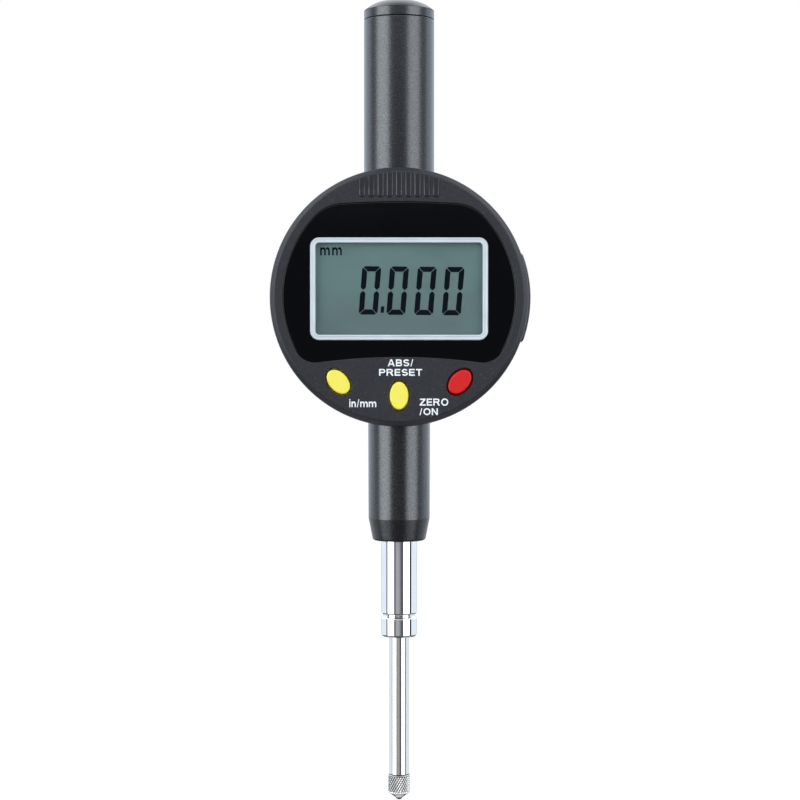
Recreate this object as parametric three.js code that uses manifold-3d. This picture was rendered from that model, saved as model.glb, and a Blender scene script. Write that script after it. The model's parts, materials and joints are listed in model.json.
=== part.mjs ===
// Digital dial indicator with a 25.4 mm measuring range, as an assembly of separate pieces.
// Millimetres, +Z up along the spindle, -Y towards the reader, origin midway along the bare stem.
import * as THREE from "three";
import { mergeVertices } from "three/addons/utils/BufferGeometryUtils.js";
import Module from "manifold-3d";

const wasm = await Module();
wasm.setup();

// ---------------------------------------------------------------- driving dimensions
const FIT = 0.06; // side gap of pieces that sit in each other
const CASE_STEPS = 72; // facets round the case, the tubes and the thin rods
const TUBE_STEPS = 36;
const ROD_STEPS = 32;

// Case, in its own frame: centre of the round case at x = z = 0
const CASE_Z = 62.4;
const CASE_R = 28.5;
const CASE_LIP_R = 28.1;
const FACE_R = 27.1;
const CASE_INNER_R = 26;
const FACE_Y = -14;
const FACE_INNER_Y = -12;
const BACK_Y = 10;
const LEDGE_Y = 8;
const COVER_R = 26.9;
const COVER_FRONT_Y = 8.4;
const PLATE_TOP = 23;
const PLATE_LOW = -17;

// Upper tube and its cap
const TUBE_R = 7.825;
const TUBE_BORE_R = 6.6;
const TUBE_SPIGOT_R = 7.2;
const TUBE_TOP = 62;
const CAP_RIM = 2;
const CAP_DOME = 2.3;
const CAP_PLUG_R = 6.3;
const CAP_PLUG_DEPTH = 5;

// Lower sleeve, stem and spindle
const SLEEVE_R = 6.94;
const SLEEVE_LOW_R = 6.84;
const SLEEVE_END_R = 5.87;
const SLEEVE_TOP = -23.6;
const SLEEVE_CONE = -49.1;
const SLEEVE_BOTTOM = -54.1;
const STEM_R = 4;
const STEM_BORE_R = 2.95;
const STEM_TOP = -21.2;
const CLAMP_HALF = 8.3;
const GROOVE = 1.2;
const GROOVE_R = 3.52;
const STEM_END = -13.3;
const SPINDLE_R = 2.25;
const BUSH_BORE_R = 2.32;
const SPINDLE_BOTTOM = -44.3;
const SPINDLE_TOP = 92.4;
const POINT_R = 2.45;
const POINT_CONE = -48.2;
const BALL_R = 0.85;
const TIP = -50.1;

// Display
const LENS_R = 25.2;
const LENS_TOP = 20.46;
const LENS_TOP_ARC_R = 187;
const LENS_TOP_CORNER_R = 9;
const LENS_BOTTOM = -12.95;
const LENS_BOTTOM_ARC_R = 130;
const LENS_BOTTOM_CORNER_R = 4.8;
const OVERLAY_BACK_Y = -13.25;
const SCREEN_Z = 1.7;
const BEZEL_W = 38.5;
const BEZEL_H = 22.2;
const BEZEL_CORNER_R = 1.95;
const BEZEL_RIM = 1.15;
const BEZEL_FRONT_Y = -14.15;
const LCD_FRONT_Y = -12.95;
const LCD_BACK_Y = -10.6;

// Electronics
const BOARD_FRONT_Y = -7.7;
const BOARD_BACK_Y = -6.1;
const BOARD_R = 24.5;
const BOARD_TOP = 18.5;
const BOARD_BOTTOM = -23.5;

// Buttons: half width, half height and the turn of the long axis away from +Z
const BUTTON_RX = 2.05;
const BUTTON_RZ = 3.05;
const BUTTON_GAP = 0.28;
const BUTTON_FRONT_Y = -14.3;
const BUTTONS = [
  { name: "in_mm", x: -13.15, z: -18.45, turn: 42, colour: 0xf4f060 },
  { name: "abs_preset", x: 0, z: -21.45, turn: 0, colour: 0xf4f060 },
  { name: "zero_on", x: 13.15, z: -18.45, turn: -42, colour: 0xd22a2c },
];

// Grip ribs on the upper face
const RIB_COUNT = 9;
const RIB_PITCH = 2.05;
const RIB_HALF = 0.6;
const RIB_LOW = 22.1;
const RIB_PROUD = 0.35;

// Battery drawer
const DOOR_HALF_ANGLE = 20;
const DOOR_R = 29;
const DOOR_INNER_R = 27.4;
const DOOR_HALF_Y = 6.5;
const TRAY = { x0: 12.5, x1: 27.6, y0: 0.6, y1: 5.8, z: 7.2 };
const CELL = { x: 19.3, r: 5.8, y0: -0.3, y1: 5.1 };

// Moving scale
const COLLAR = { half: 4.5, z0: -15, z1: -6, y0: -4.4, y1: 3 };
const SCALE_TOP = 27;
const CLAMP_SCREW = { x: -3.4, z: -9.5 };
const GUIDE_PIN_Z = -12;
const SPRING_X = 8;
const ANCHOR_Z = -21.2;

// ---------------------------------------------------------------- geometry helpers
const DEG = Math.PI / 180;

function toSolid(geometry) {
  geometry.deleteAttribute("normal");
  geometry.deleteAttribute("uv");
  const welded = mergeVertices(geometry, 1e-4);
  const corners = welded.index.array;
  const kept = [];
  for (let i = 0; i < corners.length; i += 3) {
    const [a, b, c] = [corners[i], corners[i + 1], corners[i + 2]];
    if (a !== b && b !== c && c !== a) kept.push(a, b, c);
  }
  const vertProperties = new Float32Array(welded.attributes.position.array);
  return new wasm.Manifold(new wasm.Mesh({ numProp: 3, vertProperties, triVerts: new Uint32Array(kept) }));
}

function toGeometry(solid) {
  const { vertProperties, triVerts } = solid.getMesh();
  const geometry = new THREE.BufferGeometry();
  geometry.setAttribute("position", new THREE.BufferAttribute(vertProperties, 3));
  geometry.setIndex(new THREE.BufferAttribute(triVerts, 1));
  return geometry;
}

// Points of an arc about (x, y), from one angle to another in degrees.
function arc(x, y, r, from, to, steps = 8) {
  return Array.from({ length: steps + 1 }, (_, i) => {
    const a = (from + ((to - from) * i) / steps) * DEG;
    return new THREE.Vector2(x + r * Math.cos(a), y + r * Math.sin(a));
  });
}

function circle(x, y, r, steps = ROD_STEPS) {
  return arc(x, y, r, 0, 360, steps).slice(0, -1);
}

function ellipse(x, y, rx, ry, turn = 0, steps = 24) {
  const centre = new THREE.Vector2(x, y);
  return circle(0, 0, 1, steps).map((p) =>
    new THREE.Vector2(p.x * rx, p.y * ry).rotateAround(new THREE.Vector2(), turn * DEG).add(centre),
  );
}

function rectangle(x0, x1, y0, y1) {
  return [[x0, y0], [x1, y0], [x1, y1], [x0, y1]].map(([x, y]) => new THREE.Vector2(x, y));
}

function roundRectangle(x, y, w, h, r) {
  const [dx, dy] = [w / 2 - r, h / 2 - r];
  return [
    ...arc(x + dx, y + dy, r, 0, 90, 5),
    ...arc(x - dx, y + dy, r, 90, 180, 5),
    ...arc(x - dx, y - dy, r, 180, 270, 5),
    ...arc(x + dx, y - dy, r, 270, 360, 5),
  ];
}

// A plate with its outline in X and Z, standing from yFront back to yBack.
function plate(outline, yFront, yBack, holes = []) {
  const shape = new THREE.Shape(outline);
  shape.holes = holes.map((points) => new THREE.Path(points));
  const geometry = new THREE.ExtrudeGeometry(shape, { depth: yBack - yFront, bevelEnabled: false });
  return toSolid(geometry.rotateX(Math.PI / 2).translate(0, yBack, 0));
}

// A bar along Z with its outline in X and Y.
function column(outline, z0, z1) {
  const shape = new THREE.Shape(outline);
  const geometry = new THREE.ExtrudeGeometry(shape, { depth: z1 - z0, bevelEnabled: false });
  return toSolid(geometry.translate(0, 0, z0));
}

function block(x0, x1, y0, y1, z0, z1) {
  return column(rectangle(x0, x1, y0, y1), z0, z1);
}

const rodY = (r, y0, y1, x, z, steps = 16) => plate(circle(x, z, r, steps), y0, y1);
const rodZ = (r, z0, z1, x = 0, y = 0, steps = ROD_STEPS) => column(circle(x, y, r, steps), z0, z1);

// A solid of revolution about Z or Y. The profile holds [radius, height] and runs upwards outside.
function turnedY(profile, steps = ROD_STEPS) {
  return toSolid(new THREE.LatheGeometry(profile.map(([r, h]) => new THREE.Vector2(r, h)), steps));
}

function turned(profile, steps = ROD_STEPS) {
  return turnedY(profile, steps).rotate([90, 0, 0]);
}

// A profile that closes on itself, for a ring or a tube.
const ring = (profile) => [...profile, profile[0]];

function finish(colour, roughness, metalness = 0) {
  return new THREE.MeshStandardMaterial({ color: colour, roughness, metalness });
}

function piece(name, solid, material) {
  const mesh = new THREE.Mesh(toGeometry(solid), material);
  mesh.name = name;
  return mesh;
}

// ---------------------------------------------------------------- materials
const MATERIALS = {
  casePlastic: () => finish(0x404348, 0.6),
  glossBlack: () => finish(0x0c0d10, 0.08),
  bezelWhite: () => finish(0xdce6ec, 0.35),
  clear: () => finish(0xe8f0f0, 0.05),
  lcd: () => finish(0x6f8a84, 0.25),
  anodised: () => finish(0x2c2d30, 0.45, 0.6),
  chrome: () => finish(0xd8dadd, 0.12, 1),
  steel: () => finish(0xb9bbbd, 0.3, 1),
  darkSteel: () => finish(0x50545a, 0.25, 1),
  bronze: () => finish(0xb08a4a, 0.35, 1),
  castMetal: () => finish(0x9a9c9e, 0.55, 0.9),
  board: () => finish(0x1f5a36, 0.5),
  rubber: () => finish(0x26262a, 0.85),
  chip: () => finish(0x151517, 0.4),
};

// ---------------------------------------------------------------- outlines
// Centre, at x > 0, of the circle that lies at distance d1 from (0, z1) and d2 from (0, z2).
function fromTwoCentres(z1, d1, z2, d2) {
  const z = (d1 * d1 - d2 * d2 + z2 * z2 - z1 * z1) / (2 * (z2 - z1));
  return new THREE.Vector2(Math.sqrt(d1 * d1 - (z - z1) * (z - z1)), z);
}

const angleOf = (v) => v.angle() / DEG;

// The shield: two arcs of one circle, a crowned top, a bottom edge bowed upwards, and filleted corners.
function lensOutline(grow) {
  const side = LENS_R + grow;
  const [topR, bottomR] = [LENS_TOP_ARC_R + grow, LENS_BOTTOM_ARC_R - grow];
  const [topZ, bottomZ] = [LENS_TOP - LENS_TOP_ARC_R, LENS_BOTTOM - LENS_BOTTOM_ARC_R];
  const [high, low] = [LENS_TOP_CORNER_R, LENS_BOTTOM_CORNER_R];
  const a = fromTwoCentres(0, side - high, topZ, topR - high);
  const b = fromTwoCentres(0, side - low, bottomZ, bottomR + low);
  const aSide = angleOf(a);
  const aTop = angleOf(a.clone().sub(new THREE.Vector2(0, topZ)));
  const bSide = angleOf(b) - 360;
  const bBottom = angleOf(b.clone().sub(new THREE.Vector2(0, bottomZ)));
  const half = [
    ...arc(0, bottomZ, bottomR, 90, bBottom, 6).slice(1, -1),
    ...arc(b.x, b.y, low, bBottom - 180, bSide, 6),
    ...arc(0, 0, side, bSide, aSide, 20).slice(1, -1),
    ...arc(a.x, a.y, high, aSide, aTop, 6),
    ...arc(0, topZ, topR, aTop, 90, 6).slice(1),
  ];
  const left = half.slice(0, -1).reverse().map((p) => new THREE.Vector2(-p.x, p.y));
  return [new THREE.Vector2(0, bottomZ + bottomR), ...half, ...left];
}

const bezelOutline = (grow) =>
  roundRectangle(0, SCREEN_Z, BEZEL_W + 2 * grow, BEZEL_H + 2 * grow, BEZEL_CORNER_R + grow);

// A piece of the case wall, between two radii and two angles to +X.
function wallSector(inner, outer, halfAngle, yFront, yBack) {
  const outside = arc(0, 0, outer, -halfAngle, halfAngle, 12);
  const inside = arc(0, 0, inner, halfAngle, -halfAngle, 12);
  return plate([...outside, ...inside], yFront, yBack);
}

// ---------------------------------------------------------------- positions of the fasteners
const polar = (r, angle) => ({ x: r * Math.cos(angle * DEG), z: r * Math.sin(angle * DEG) });
const COVER_SCREWS = [45, 135, 213, 327].map((angle) => polar(23.6, angle));
const FRAME_SCREWS = [{ x: -8.9, z: 21.6 }, { x: 8.4, z: -19.6 }];
const BOARD_SCREWS = [{ x: 22, z: 1.5 }, { x: -22, z: 1.5 }, { x: -6.8, z: -15.4 }, { x: 6.8, z: -15.4 }];

// ---------------------------------------------------------------- case
function frontHousing() {
  const shell = turnedY([
    [0, FACE_Y],
    [FACE_R, FACE_Y],
    [CASE_LIP_R, -12.9],
    [CASE_R, -6.5],
    [CASE_R, BACK_Y - 0.6],
    [CASE_R - 0.6, BACK_Y],
    [COVER_R + FIT, BACK_Y],
    [COVER_R + FIT, LEDGE_Y],
    [CASE_INNER_R, LEDGE_Y],
    [CASE_INNER_R, FACE_INNER_Y],
    [0, FACE_INNER_Y],
  ], CASE_STEPS);
  const bosses = [
    ...COVER_SCREWS.map(({ x, z }) => rodY(2.2, FACE_INNER_Y - 0.5, COVER_FRONT_Y - 0.05, x, z, 12)),
    ...BOARD_SCREWS.map(({ x, z }) => rodY(1.6, FACE_INNER_Y - 0.5, BOARD_FRONT_Y - 0.03, x, z, 12)),
  ];
  const ribs = Array.from({ length: RIB_COUNT }, (_, i) => gripRib((i - (RIB_COUNT - 1) / 2) * RIB_PITCH));
  const solid = [...bosses, ...ribs].reduce((sum, add) => sum.add(add), shell);
  const doorHalf = DOOR_HALF_Y + 0.25;
  const cuts = [
    plate(lensOutline(FIT), FACE_Y - 1, OVERLAY_BACK_Y + 0.05),
    plate(bezelOutline(FIT), FACE_Y - 1, FACE_INNER_Y + 1),
    ...BUTTONS.map((b) => plate(buttonOutline(b, BUTTON_GAP), FACE_Y - 1, FACE_INNER_Y + 1)),
    rodZ(TUBE_R + 0.1, 15, CASE_R + 1, 0, 0, TUBE_STEPS),
    rodZ(SLEEVE_R + 0.1, -CASE_R - 1, -15, 0, 0, TUBE_STEPS),
    wallSector(DOOR_INNER_R - 0.2, CASE_R + 2, DOOR_HALF_ANGLE + 0.35, -doorHalf, doorHalf),
    block(18, CASE_R, CELL.y0 - 0.3, TRAY.y1 + 0.4, -TRAY.z - 0.3, TRAY.z + 0.3),
    ...COVER_SCREWS.map(({ x, z }) => rodY(0.95, -2, BACK_Y, x, z, 12)),
    ...BOARD_SCREWS.map(({ x, z }) => rodY(0.75, FACE_INNER_Y + 0.4, 0, x, z, 12)),
  ];
  return cuts.reduce((rest, cut) => rest.subtract(cut), solid);
}

// A pill-shaped rib that runs up to the rounded edge of the face.
function gripRib(x) {
  const top = Math.sqrt((FACE_R - 0.25) ** 2 - x * x) - RIB_HALF;
  const low = RIB_LOW + RIB_HALF;
  const outline = [...arc(x, top, RIB_HALF, 0, 180, 4), ...arc(x, low, RIB_HALF, 180, 360, 4)];
  return plate(outline, FACE_Y - RIB_PROUD, FACE_Y + 0.5);
}

function rearCover() {
  const disc = turnedY([
    [0, COVER_FRONT_Y],
    [COVER_R, COVER_FRONT_Y],
    [COVER_R, BACK_Y - 0.3],
    [COVER_R - 0.3, BACK_Y],
    [0, BACK_Y],
  ], CASE_STEPS);
  const cuts = [...COVER_SCREWS, ...FRAME_SCREWS].flatMap(({ x, z }) => [
    rodY(1.05, COVER_FRONT_Y - 1, BACK_Y + 1, x, z, 12),
    rodY(2.05, BACK_Y - 0.95, BACK_Y + 1, x, z, 16),
  ]);
  return cuts.reduce((rest, cut) => rest.subtract(cut), disc);
}

function housingGasket() {
  const [low, high] = [LEDGE_Y + 0.02, COVER_FRONT_Y - 0.02];
  const inner = COVER_R - 0.7;
  return turnedY(ring([[inner, low], [COVER_R, low], [COVER_R, high], [inner, high]]), TUBE_STEPS * 2);
}

// A screw along Y with its head at the back, and a driver slot across the head.
function screw(headY, headR, headDepth, shankR, length) {
  const under = headDepth + length;
  const shank = [[0, -under], [shankR, -under], [shankR, -headDepth]];
  const head = [[headR, -headDepth], [headR, 0], [0, 0]];
  const slotHalf = headR * 0.62;
  const slot = block(-slotHalf, slotHalf, -0.4, 1, -0.2, 0.2);
  return turnedY([...shank, ...head], 12).subtract(slot).translate([0, headY, 0]);
}

// ---------------------------------------------------------------- display
const displayOverlay = () => plate(lensOutline(0), FACE_Y, OVERLAY_BACK_Y, [bezelOutline(FIT)]);

const lcdBezel = () => plate(bezelOutline(0), BEZEL_FRONT_Y, LCD_FRONT_Y - 0.03, [bezelOutline(-BEZEL_RIM)]);

const displayWindow = () => plate(bezelOutline(-BEZEL_RIM - FIT), -13.65, -13.1);

const lcdOutline = () => bezelOutline(-0.3);

const lcdPanel = () => plate(lcdOutline(), LCD_FRONT_Y, LCD_BACK_Y);

function zebraStrip(z) {
  return block(-17, 17, LCD_BACK_Y + 0.05, BOARD_FRONT_Y - 0.05, z - 0.8, z + 0.8);
}

// ---------------------------------------------------------------- electronics
function mainBoard() {
  const topAngle = Math.asin(BOARD_TOP / BOARD_R) / DEG;
  const lowAngle = Math.asin(BOARD_BOTTOM / BOARD_R) / DEG;
  const right = arc(0, 0, BOARD_R, lowAngle, topAngle, 20);
  const left = arc(0, 0, BOARD_R, 180 - topAngle, 180 - lowAngle, 20);
  const holes = BOARD_SCREWS.map(({ x, z }) => circle(x, z, 0.9, 12));
  const board = plate([...right, ...left], BOARD_FRONT_Y, BOARD_BACK_Y, holes);
  const notches = COVER_SCREWS.map(({ x, z }) => rodY(2.45, BOARD_FRONT_Y - 1, BOARD_BACK_Y + 1, x, z, 16));
  return notches.reduce((rest, notch) => rest.subtract(notch), board);
}

const readHead = () => plate(rectangle(-6, 6, -8, 12), BOARD_BACK_Y + 0.04, -5.2);

function processorChip() {
  const top = BOARD_BACK_Y + 0.04;
  const profile = [[0, top], [3.6, top], [3.3, top + 0.7], [2.2, top + 1.05], [0, top + 1.15]];
  return turnedY(profile, 20).translate([-13, 0, 5]);
}

function tactSwitch({ x, z }) {
  const can = plate(roundRectangle(x, z, 4, 4, 0.4), -9.6, BOARD_FRONT_Y - 0.04);
  return can.subtract(rodY(1.1, -10, -8.2, x, z, 16));
}

const switchPlunger = ({ x, z }) => rodY(0.9, -10.45, -8.9, x, z, 16);

// ---------------------------------------------------------------- buttons
const buttonOutline = ({ x, z, turn }, grow) => ellipse(x, z, BUTTON_RX + grow, BUTTON_RZ + grow, turn);

function buttonCap(button) {
  const cap = plate(buttonOutline(button, 0), BUTTON_FRONT_Y + 0.3, -11.7);
  const crown = plate(buttonOutline(button, -0.3), BUTTON_FRONT_Y, -11.7);
  const flange = plate(buttonOutline(button, 0.75), FACE_INNER_Y + 0.1, -10.5);
  return cap.add(crown).add(flange);
}

// ---------------------------------------------------------------- battery
function batteryDrawer() {
  const door = wallSector(DOOR_INNER_R, DOOR_R, DOOR_HALF_ANGLE, -DOOR_HALF_Y, DOOR_HALF_Y);
  const tray = block(TRAY.x0, TRAY.x1, TRAY.y0, TRAY.y1, -TRAY.z, TRAY.z);
  const pocket = rodY(CELL.r + 0.15, TRAY.y0 - 1, CELL.y1 + 0.06, CELL.x, 0, 32);
  const window = rodY(3.6, TRAY.y0 - 1, TRAY.y1 + 1, CELL.x, 0, 24);
  return door.add(tray).subtract(pocket).subtract(window);
}

function coinCell() {
  const profile = [
    [0, CELL.y0],
    [CELL.r - 0.25, CELL.y0],
    [CELL.r, CELL.y0 + 0.25],
    [CELL.r, CELL.y1 - 0.9],
    [CELL.r - 0.9, CELL.y1 - 0.5],
    [CELL.r - 0.9, CELL.y1],
    [0, CELL.y1],
  ];
  return turnedY(profile, 28).translate([CELL.x, 0, 0]);
}

// A strip against the cell and a leg forward to the board.
function batteryContact(yStrip, z0, z1) {
  const strip = block(11.5, 21, yStrip, yStrip + 0.3, z0, z1);
  return strip.add(block(11.5, 11.9, BOARD_BACK_Y + 0.04, yStrip + 0.3, z0, z1));
}

// ---------------------------------------------------------------- frame and tubes
function innerFrame() {
  const rear = COVER_FRONT_Y - 0.05;
  const solid = block(-6, 6, 3.5, 6.2, PLATE_LOW - 1, 21)
    .add(block(-11.2, 11.2, -9, rear, 20.2, PLATE_TOP))
    .add(block(-10.4, 10.4, -5.7, rear, -23.5, PLATE_LOW));
  const slot = [...arc(0, 15, 1.15, 0, 180, 8), ...arc(0, -13.5, 1.15, 180, 360, 8)];
  const cuts = [
    rodZ(TUBE_SPIGOT_R + FIT, 19, PLATE_TOP + 1, 0, 0, TUBE_STEPS),
    rodZ(STEM_R + 0.05, -24, STEM_TOP + 0.05),
    rodZ(3.3, -22, -16),
    block(5.8, 11, -2.2, 2.2, -21.5, -16),
    plate(slot, 3, 7),
    rodY(0.5, -6, 3, SPRING_X, ANCHOR_Z, 12),
    ...FRAME_SCREWS.map(({ x, z }) => rodY(0.9, 4, rear + 1, x, z, 12)),
  ];
  return cuts.reduce((rest, cut) => rest.subtract(cut), solid);
}

function upperTube() {
  const [low, high] = [PLATE_TOP + 0.05, TUBE_TOP - 0.05];
  return turned(ring([
    [TUBE_BORE_R, low - 2.7],
    [TUBE_SPIGOT_R, low - 2.7],
    [TUBE_SPIGOT_R, low],
    [TUBE_R, low],
    [TUBE_R, high - 0.15],
    [TUBE_R - 0.15, high],
    [TUBE_BORE_R, high],
  ]), TUBE_STEPS);
}

function tubeCap() {
  const plug = TUBE_TOP - CAP_PLUG_DEPTH;
  const rim = TUBE_TOP + CAP_RIM;
  const domeEdge = TUBE_R - 0.2;
  const domeR = (domeEdge ** 2 + CAP_DOME ** 2) / (2 * CAP_DOME);
  const edgeAngle = Math.asin(domeEdge / domeR) / DEG;
  const dome = arc(0, rim + CAP_DOME - domeR, domeR, 90 - edgeAngle, 90, 5).map((p) => [p.x, p.y]);
  dome[dome.length - 1][0] = 0;
  return turned([
    [0, plug],
    [CAP_PLUG_R - 0.4, plug],
    [CAP_PLUG_R, plug + 0.4],
    [CAP_PLUG_R, TUBE_TOP],
    [TUBE_R - 0.15, TUBE_TOP],
    [TUBE_R, TUBE_TOP + 0.15],
    [TUBE_R, rim - 0.1],
    ...dome,
  ], TUBE_STEPS);
}

function lowerSleeve() {
  const bore = STEM_R + 0.05;
  return turned(ring([
    [bore, SLEEVE_BOTTOM],
    [SLEEVE_END_R - 0.5, SLEEVE_BOTTOM],
    [SLEEVE_END_R - 0.1, SLEEVE_BOTTOM + 0.2],
    [SLEEVE_END_R + 0.05, SLEEVE_BOTTOM + 0.6],
    [SLEEVE_LOW_R, SLEEVE_CONE],
    [SLEEVE_R, SLEEVE_TOP],
    [bore, SLEEVE_TOP],
  ]), TUBE_STEPS);
}

// Spindle guide and stem, in the frame of the whole part.
function stem() {
  return turned(ring([
    [STEM_BORE_R, -CLAMP_HALF],
    [STEM_R - 0.35, -CLAMP_HALF],
    [STEM_R, -CLAMP_HALF + 0.35],
    [STEM_R, CASE_Z + STEM_TOP],
    [STEM_BORE_R, CASE_Z + STEM_TOP],
  ]), ROD_STEPS);
}

function stemEndBush() {
  const neck = STEM_BORE_R - 0.05;
  const under = -CLAMP_HALF - 0.04;
  return turned(ring([
    [BUSH_BORE_R, STEM_END],
    [STEM_R - 0.9, STEM_END],
    [STEM_R - 0.35, STEM_END + 0.2],
    [STEM_R, STEM_END + 0.7],
    [STEM_R, under - GROOVE + 0.3],
    [GROOVE_R, under - GROOVE + 0.75],
    [GROOVE_R, under],
    [neck, under],
    [neck, under + 4.5],
    [BUSH_BORE_R, under + 4.5],
  ]), ROD_STEPS);
}

function frameBush() {
  const low = STEM_TOP + 0.1;
  return turned(ring([[BUSH_BORE_R, low], [3.25, low], [3.25, PLATE_LOW], [BUSH_BORE_R, PLATE_LOW]]));
}

function stopBuffer() {
  const [low, high] = [PLATE_LOW + 0.05, COLLAR.z0 - 0.05];
  return turned(ring([[SPINDLE_R + 0.2, low], [3.4, low], [3.4, high], [SPINDLE_R + 0.2, high]]), 24);
}

// ---------------------------------------------------------------- moving spindle
function spindle() {
  const shaft = turned([
    [0, SPINDLE_BOTTOM],
    [SPINDLE_R - 0.2, SPINDLE_BOTTOM],
    [SPINDLE_R, SPINDLE_BOTTOM + 0.2],
    [SPINDLE_R, SPINDLE_TOP - 0.4],
    [SPINDLE_R - 0.4, SPINDLE_TOP],
    [0, SPINDLE_TOP],
  ]);
  const holes = [
    rodZ(1.3, SPINDLE_BOTTOM - 1, SPINDLE_BOTTOM + 6, 0, 0, 20),
    rodZ(1.05, SPINDLE_TOP - 6, SPINDLE_TOP + 1, 0, 0, 20),
  ];
  return holes.reduce((rest, hole) => rest.subtract(hole), shaft);
}

function scaleCarrier() {
  const { half, z0, z1, y0, y1 } = COLLAR;
  const solid = block(-half, half, y0, y1, z0, z1)
    .add(block(-4, 4, y0, -2.6, z0, SCALE_TOP))
    .add(block(half - 0.5, 9.4, -1.2, 1.2, z1 - 1.2, z1));
  const cuts = [
    rodZ(SPINDLE_R + 0.06, z0 - 1, SCALE_TOP + 1),
    rodY(1.02, 2, 4, 0, GUIDE_PIN_Z, 16),
    rodY(0.9, -5, 4, CLAMP_SCREW.x, CLAMP_SCREW.z, 12),
    rodZ(0.5, z1 - 2, z1 + 1, SPRING_X, 0, 12),
  ];
  return cuts.reduce((rest, cut) => rest.subtract(cut), solid);
}

function scaleStrip() {
  const { z0, y0 } = COLLAR;
  return plate(rectangle(-3.9, 3.9, z0 + 0.4, SCALE_TOP - 0.4), y0 - 0.5, y0 - 0.03);
}

// An extension spring between the anchor screw and the arm of the scale carrier.
class SpringPath extends THREE.Curve {
  constructor(low, high, radius, turns) {
    super();
    Object.assign(this, { low, high, radius, turns });
  }

  getPoint(t, target = new THREE.Vector3()) {
    const eased = THREE.MathUtils.smoothstep(Math.min(t, 1 - t), 0, 0.1);
    const angle = t * this.turns * 2 * Math.PI;
    const r = this.radius * (0.25 + 0.75 * eased);
    const z = this.low + (this.high - this.low) * t;
    return target.set(r * Math.cos(angle), r * Math.sin(angle), z);
  }
}

function returnSpring() {
  const path = new SpringPath(ANCHOR_Z + 0.7, COLLAR.z1 - 1.6, 1.45, 9);
  const wire = new THREE.Shape(circle(0, 0, 0.2, 5));
  const geometry = new THREE.ExtrudeGeometry(wire, { extrudePath: path, steps: 80, bevelEnabled: false });
  return toSolid(geometry).translate([SPRING_X, 0, 0]);
}

// ---------------------------------------------------------------- contact point
function contactPoint() {
  const top = SPINDLE_BOTTOM - 0.05;
  const solid = turned([
    [0, TIP + 1.15],
    [0.75, TIP + 1.15],
    [0.95, TIP + 1.0],
    [POINT_R - 0.25, POINT_CONE],
    [POINT_R, POINT_CONE + 0.3],
    [POINT_R, top - 0.2],
    [POINT_R - 0.2, top],
    [1.2, top],
    [1.2, top + 4.6],
    [0.9, top + 5],
    [0, top + 5],
  ], 24);
  return solid.subtract(turned(sphereProfile(BALL_R + 0.03), 20));
}

function sphereProfile(r) {
  const profile = arc(0, TIP + BALL_R, r, -90, 90, 8).map((p) => [p.x, p.y]);
  profile[0][0] = 0;
  profile[profile.length - 1][0] = 0;
  return profile;
}

const contactBall = () => turned(sphereProfile(BALL_R), 20);

// ---------------------------------------------------------------- assembly
const M = MATERIALS;

function caseGroup() {
  const group = new THREE.Group();
  group.position.z = CASE_Z;
  group.add(
    piece("front_housing", frontHousing(), M.casePlastic()),
    piece("rear_cover", rearCover(), M.anodised()),
    piece("housing_gasket", housingGasket(), M.rubber()),
    piece("display_overlay", displayOverlay(), M.glossBlack()),
    piece("lcd_bezel", lcdBezel(), M.bezelWhite()),
    piece("display_window", displayWindow(), M.clear()),
    piece("lcd_panel", lcdPanel(), M.lcd()),
    piece("zebra_strip_upper", zebraStrip(SCREEN_Z + 9.3), M.rubber()),
    piece("zebra_strip_lower", zebraStrip(SCREEN_Z - 9.3), M.rubber()),
    piece("main_board", mainBoard(), M.board()),
    piece("read_head", readHead(), M.board()),
    piece("processor_chip", processorChip(), M.chip()),
    piece("battery_drawer", batteryDrawer(), M.casePlastic()),
    piece("coin_cell", coinCell(), M.chrome()),
    piece("battery_contact_positive", batteryContact(CELL.y0 - 0.35, 3, 5.4), M.steel()),
    piece("battery_contact_negative", batteryContact(TRAY.y1 + 0.05, -2, 2), M.steel()),
    piece("inner_frame", innerFrame(), M.castMetal()),
    piece("upper_tube", upperTube(), M.anodised()),
    piece("tube_cap", tubeCap(), M.anodised()),
    piece("lower_sleeve", lowerSleeve(), M.anodised()),
    piece("frame_bush", frameBush(), M.bronze()),
    piece("stop_buffer", stopBuffer(), M.rubber()),
    piece("scale_carrier", scaleCarrier(), M.castMetal()),
    piece("scale_strip", scaleStrip(), M.board()),
    piece("guide_pin", rodY(1, 2.35, 6, 0, GUIDE_PIN_Z, 16), M.steel()),
    piece("return_spring", returnSpring(), M.steel()),
  );
  addFasteners(group);
  addButtons(group);
  return group;
}

function addFasteners(group) {
  const rearHead = BACK_Y - 0.05;
  COVER_SCREWS.forEach(({ x, z }, i) => {
    const solid = screw(rearHead, 1.9, 0.85, 0.85, 6).translate([x, 0, z]);
    group.add(piece(`rear_cover_screw_${i + 1}`, solid, M.steel()));
  });
  FRAME_SCREWS.forEach(({ x, z }, i) => {
    const solid = screw(rearHead, 1.9, 0.85, 0.8, 4).translate([x, 0, z]);
    group.add(piece(`frame_screw_${i + 1}`, solid, M.steel()));
  });
  BOARD_SCREWS.forEach(({ x, z }, i) => {
    const solid = screw(BOARD_BACK_Y + 0.85, 1.5, 0.8, 0.65, 4.5).translate([x, 0, z]);
    group.add(piece(`board_screw_${i + 1}`, solid, M.steel()));
  });
  const clampScrew = screw(COLLAR.y1, 0.8, 0.6, 0.6, 4).translate([CLAMP_SCREW.x, 0, CLAMP_SCREW.z]);
  group.add(piece("carrier_clamp_screw", clampScrew, M.steel()));
  group.add(piece("spring_anchor_screw", rodY(0.45, -5.5, 2.9, SPRING_X, ANCHOR_Z, 12), M.steel()));
}

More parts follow.
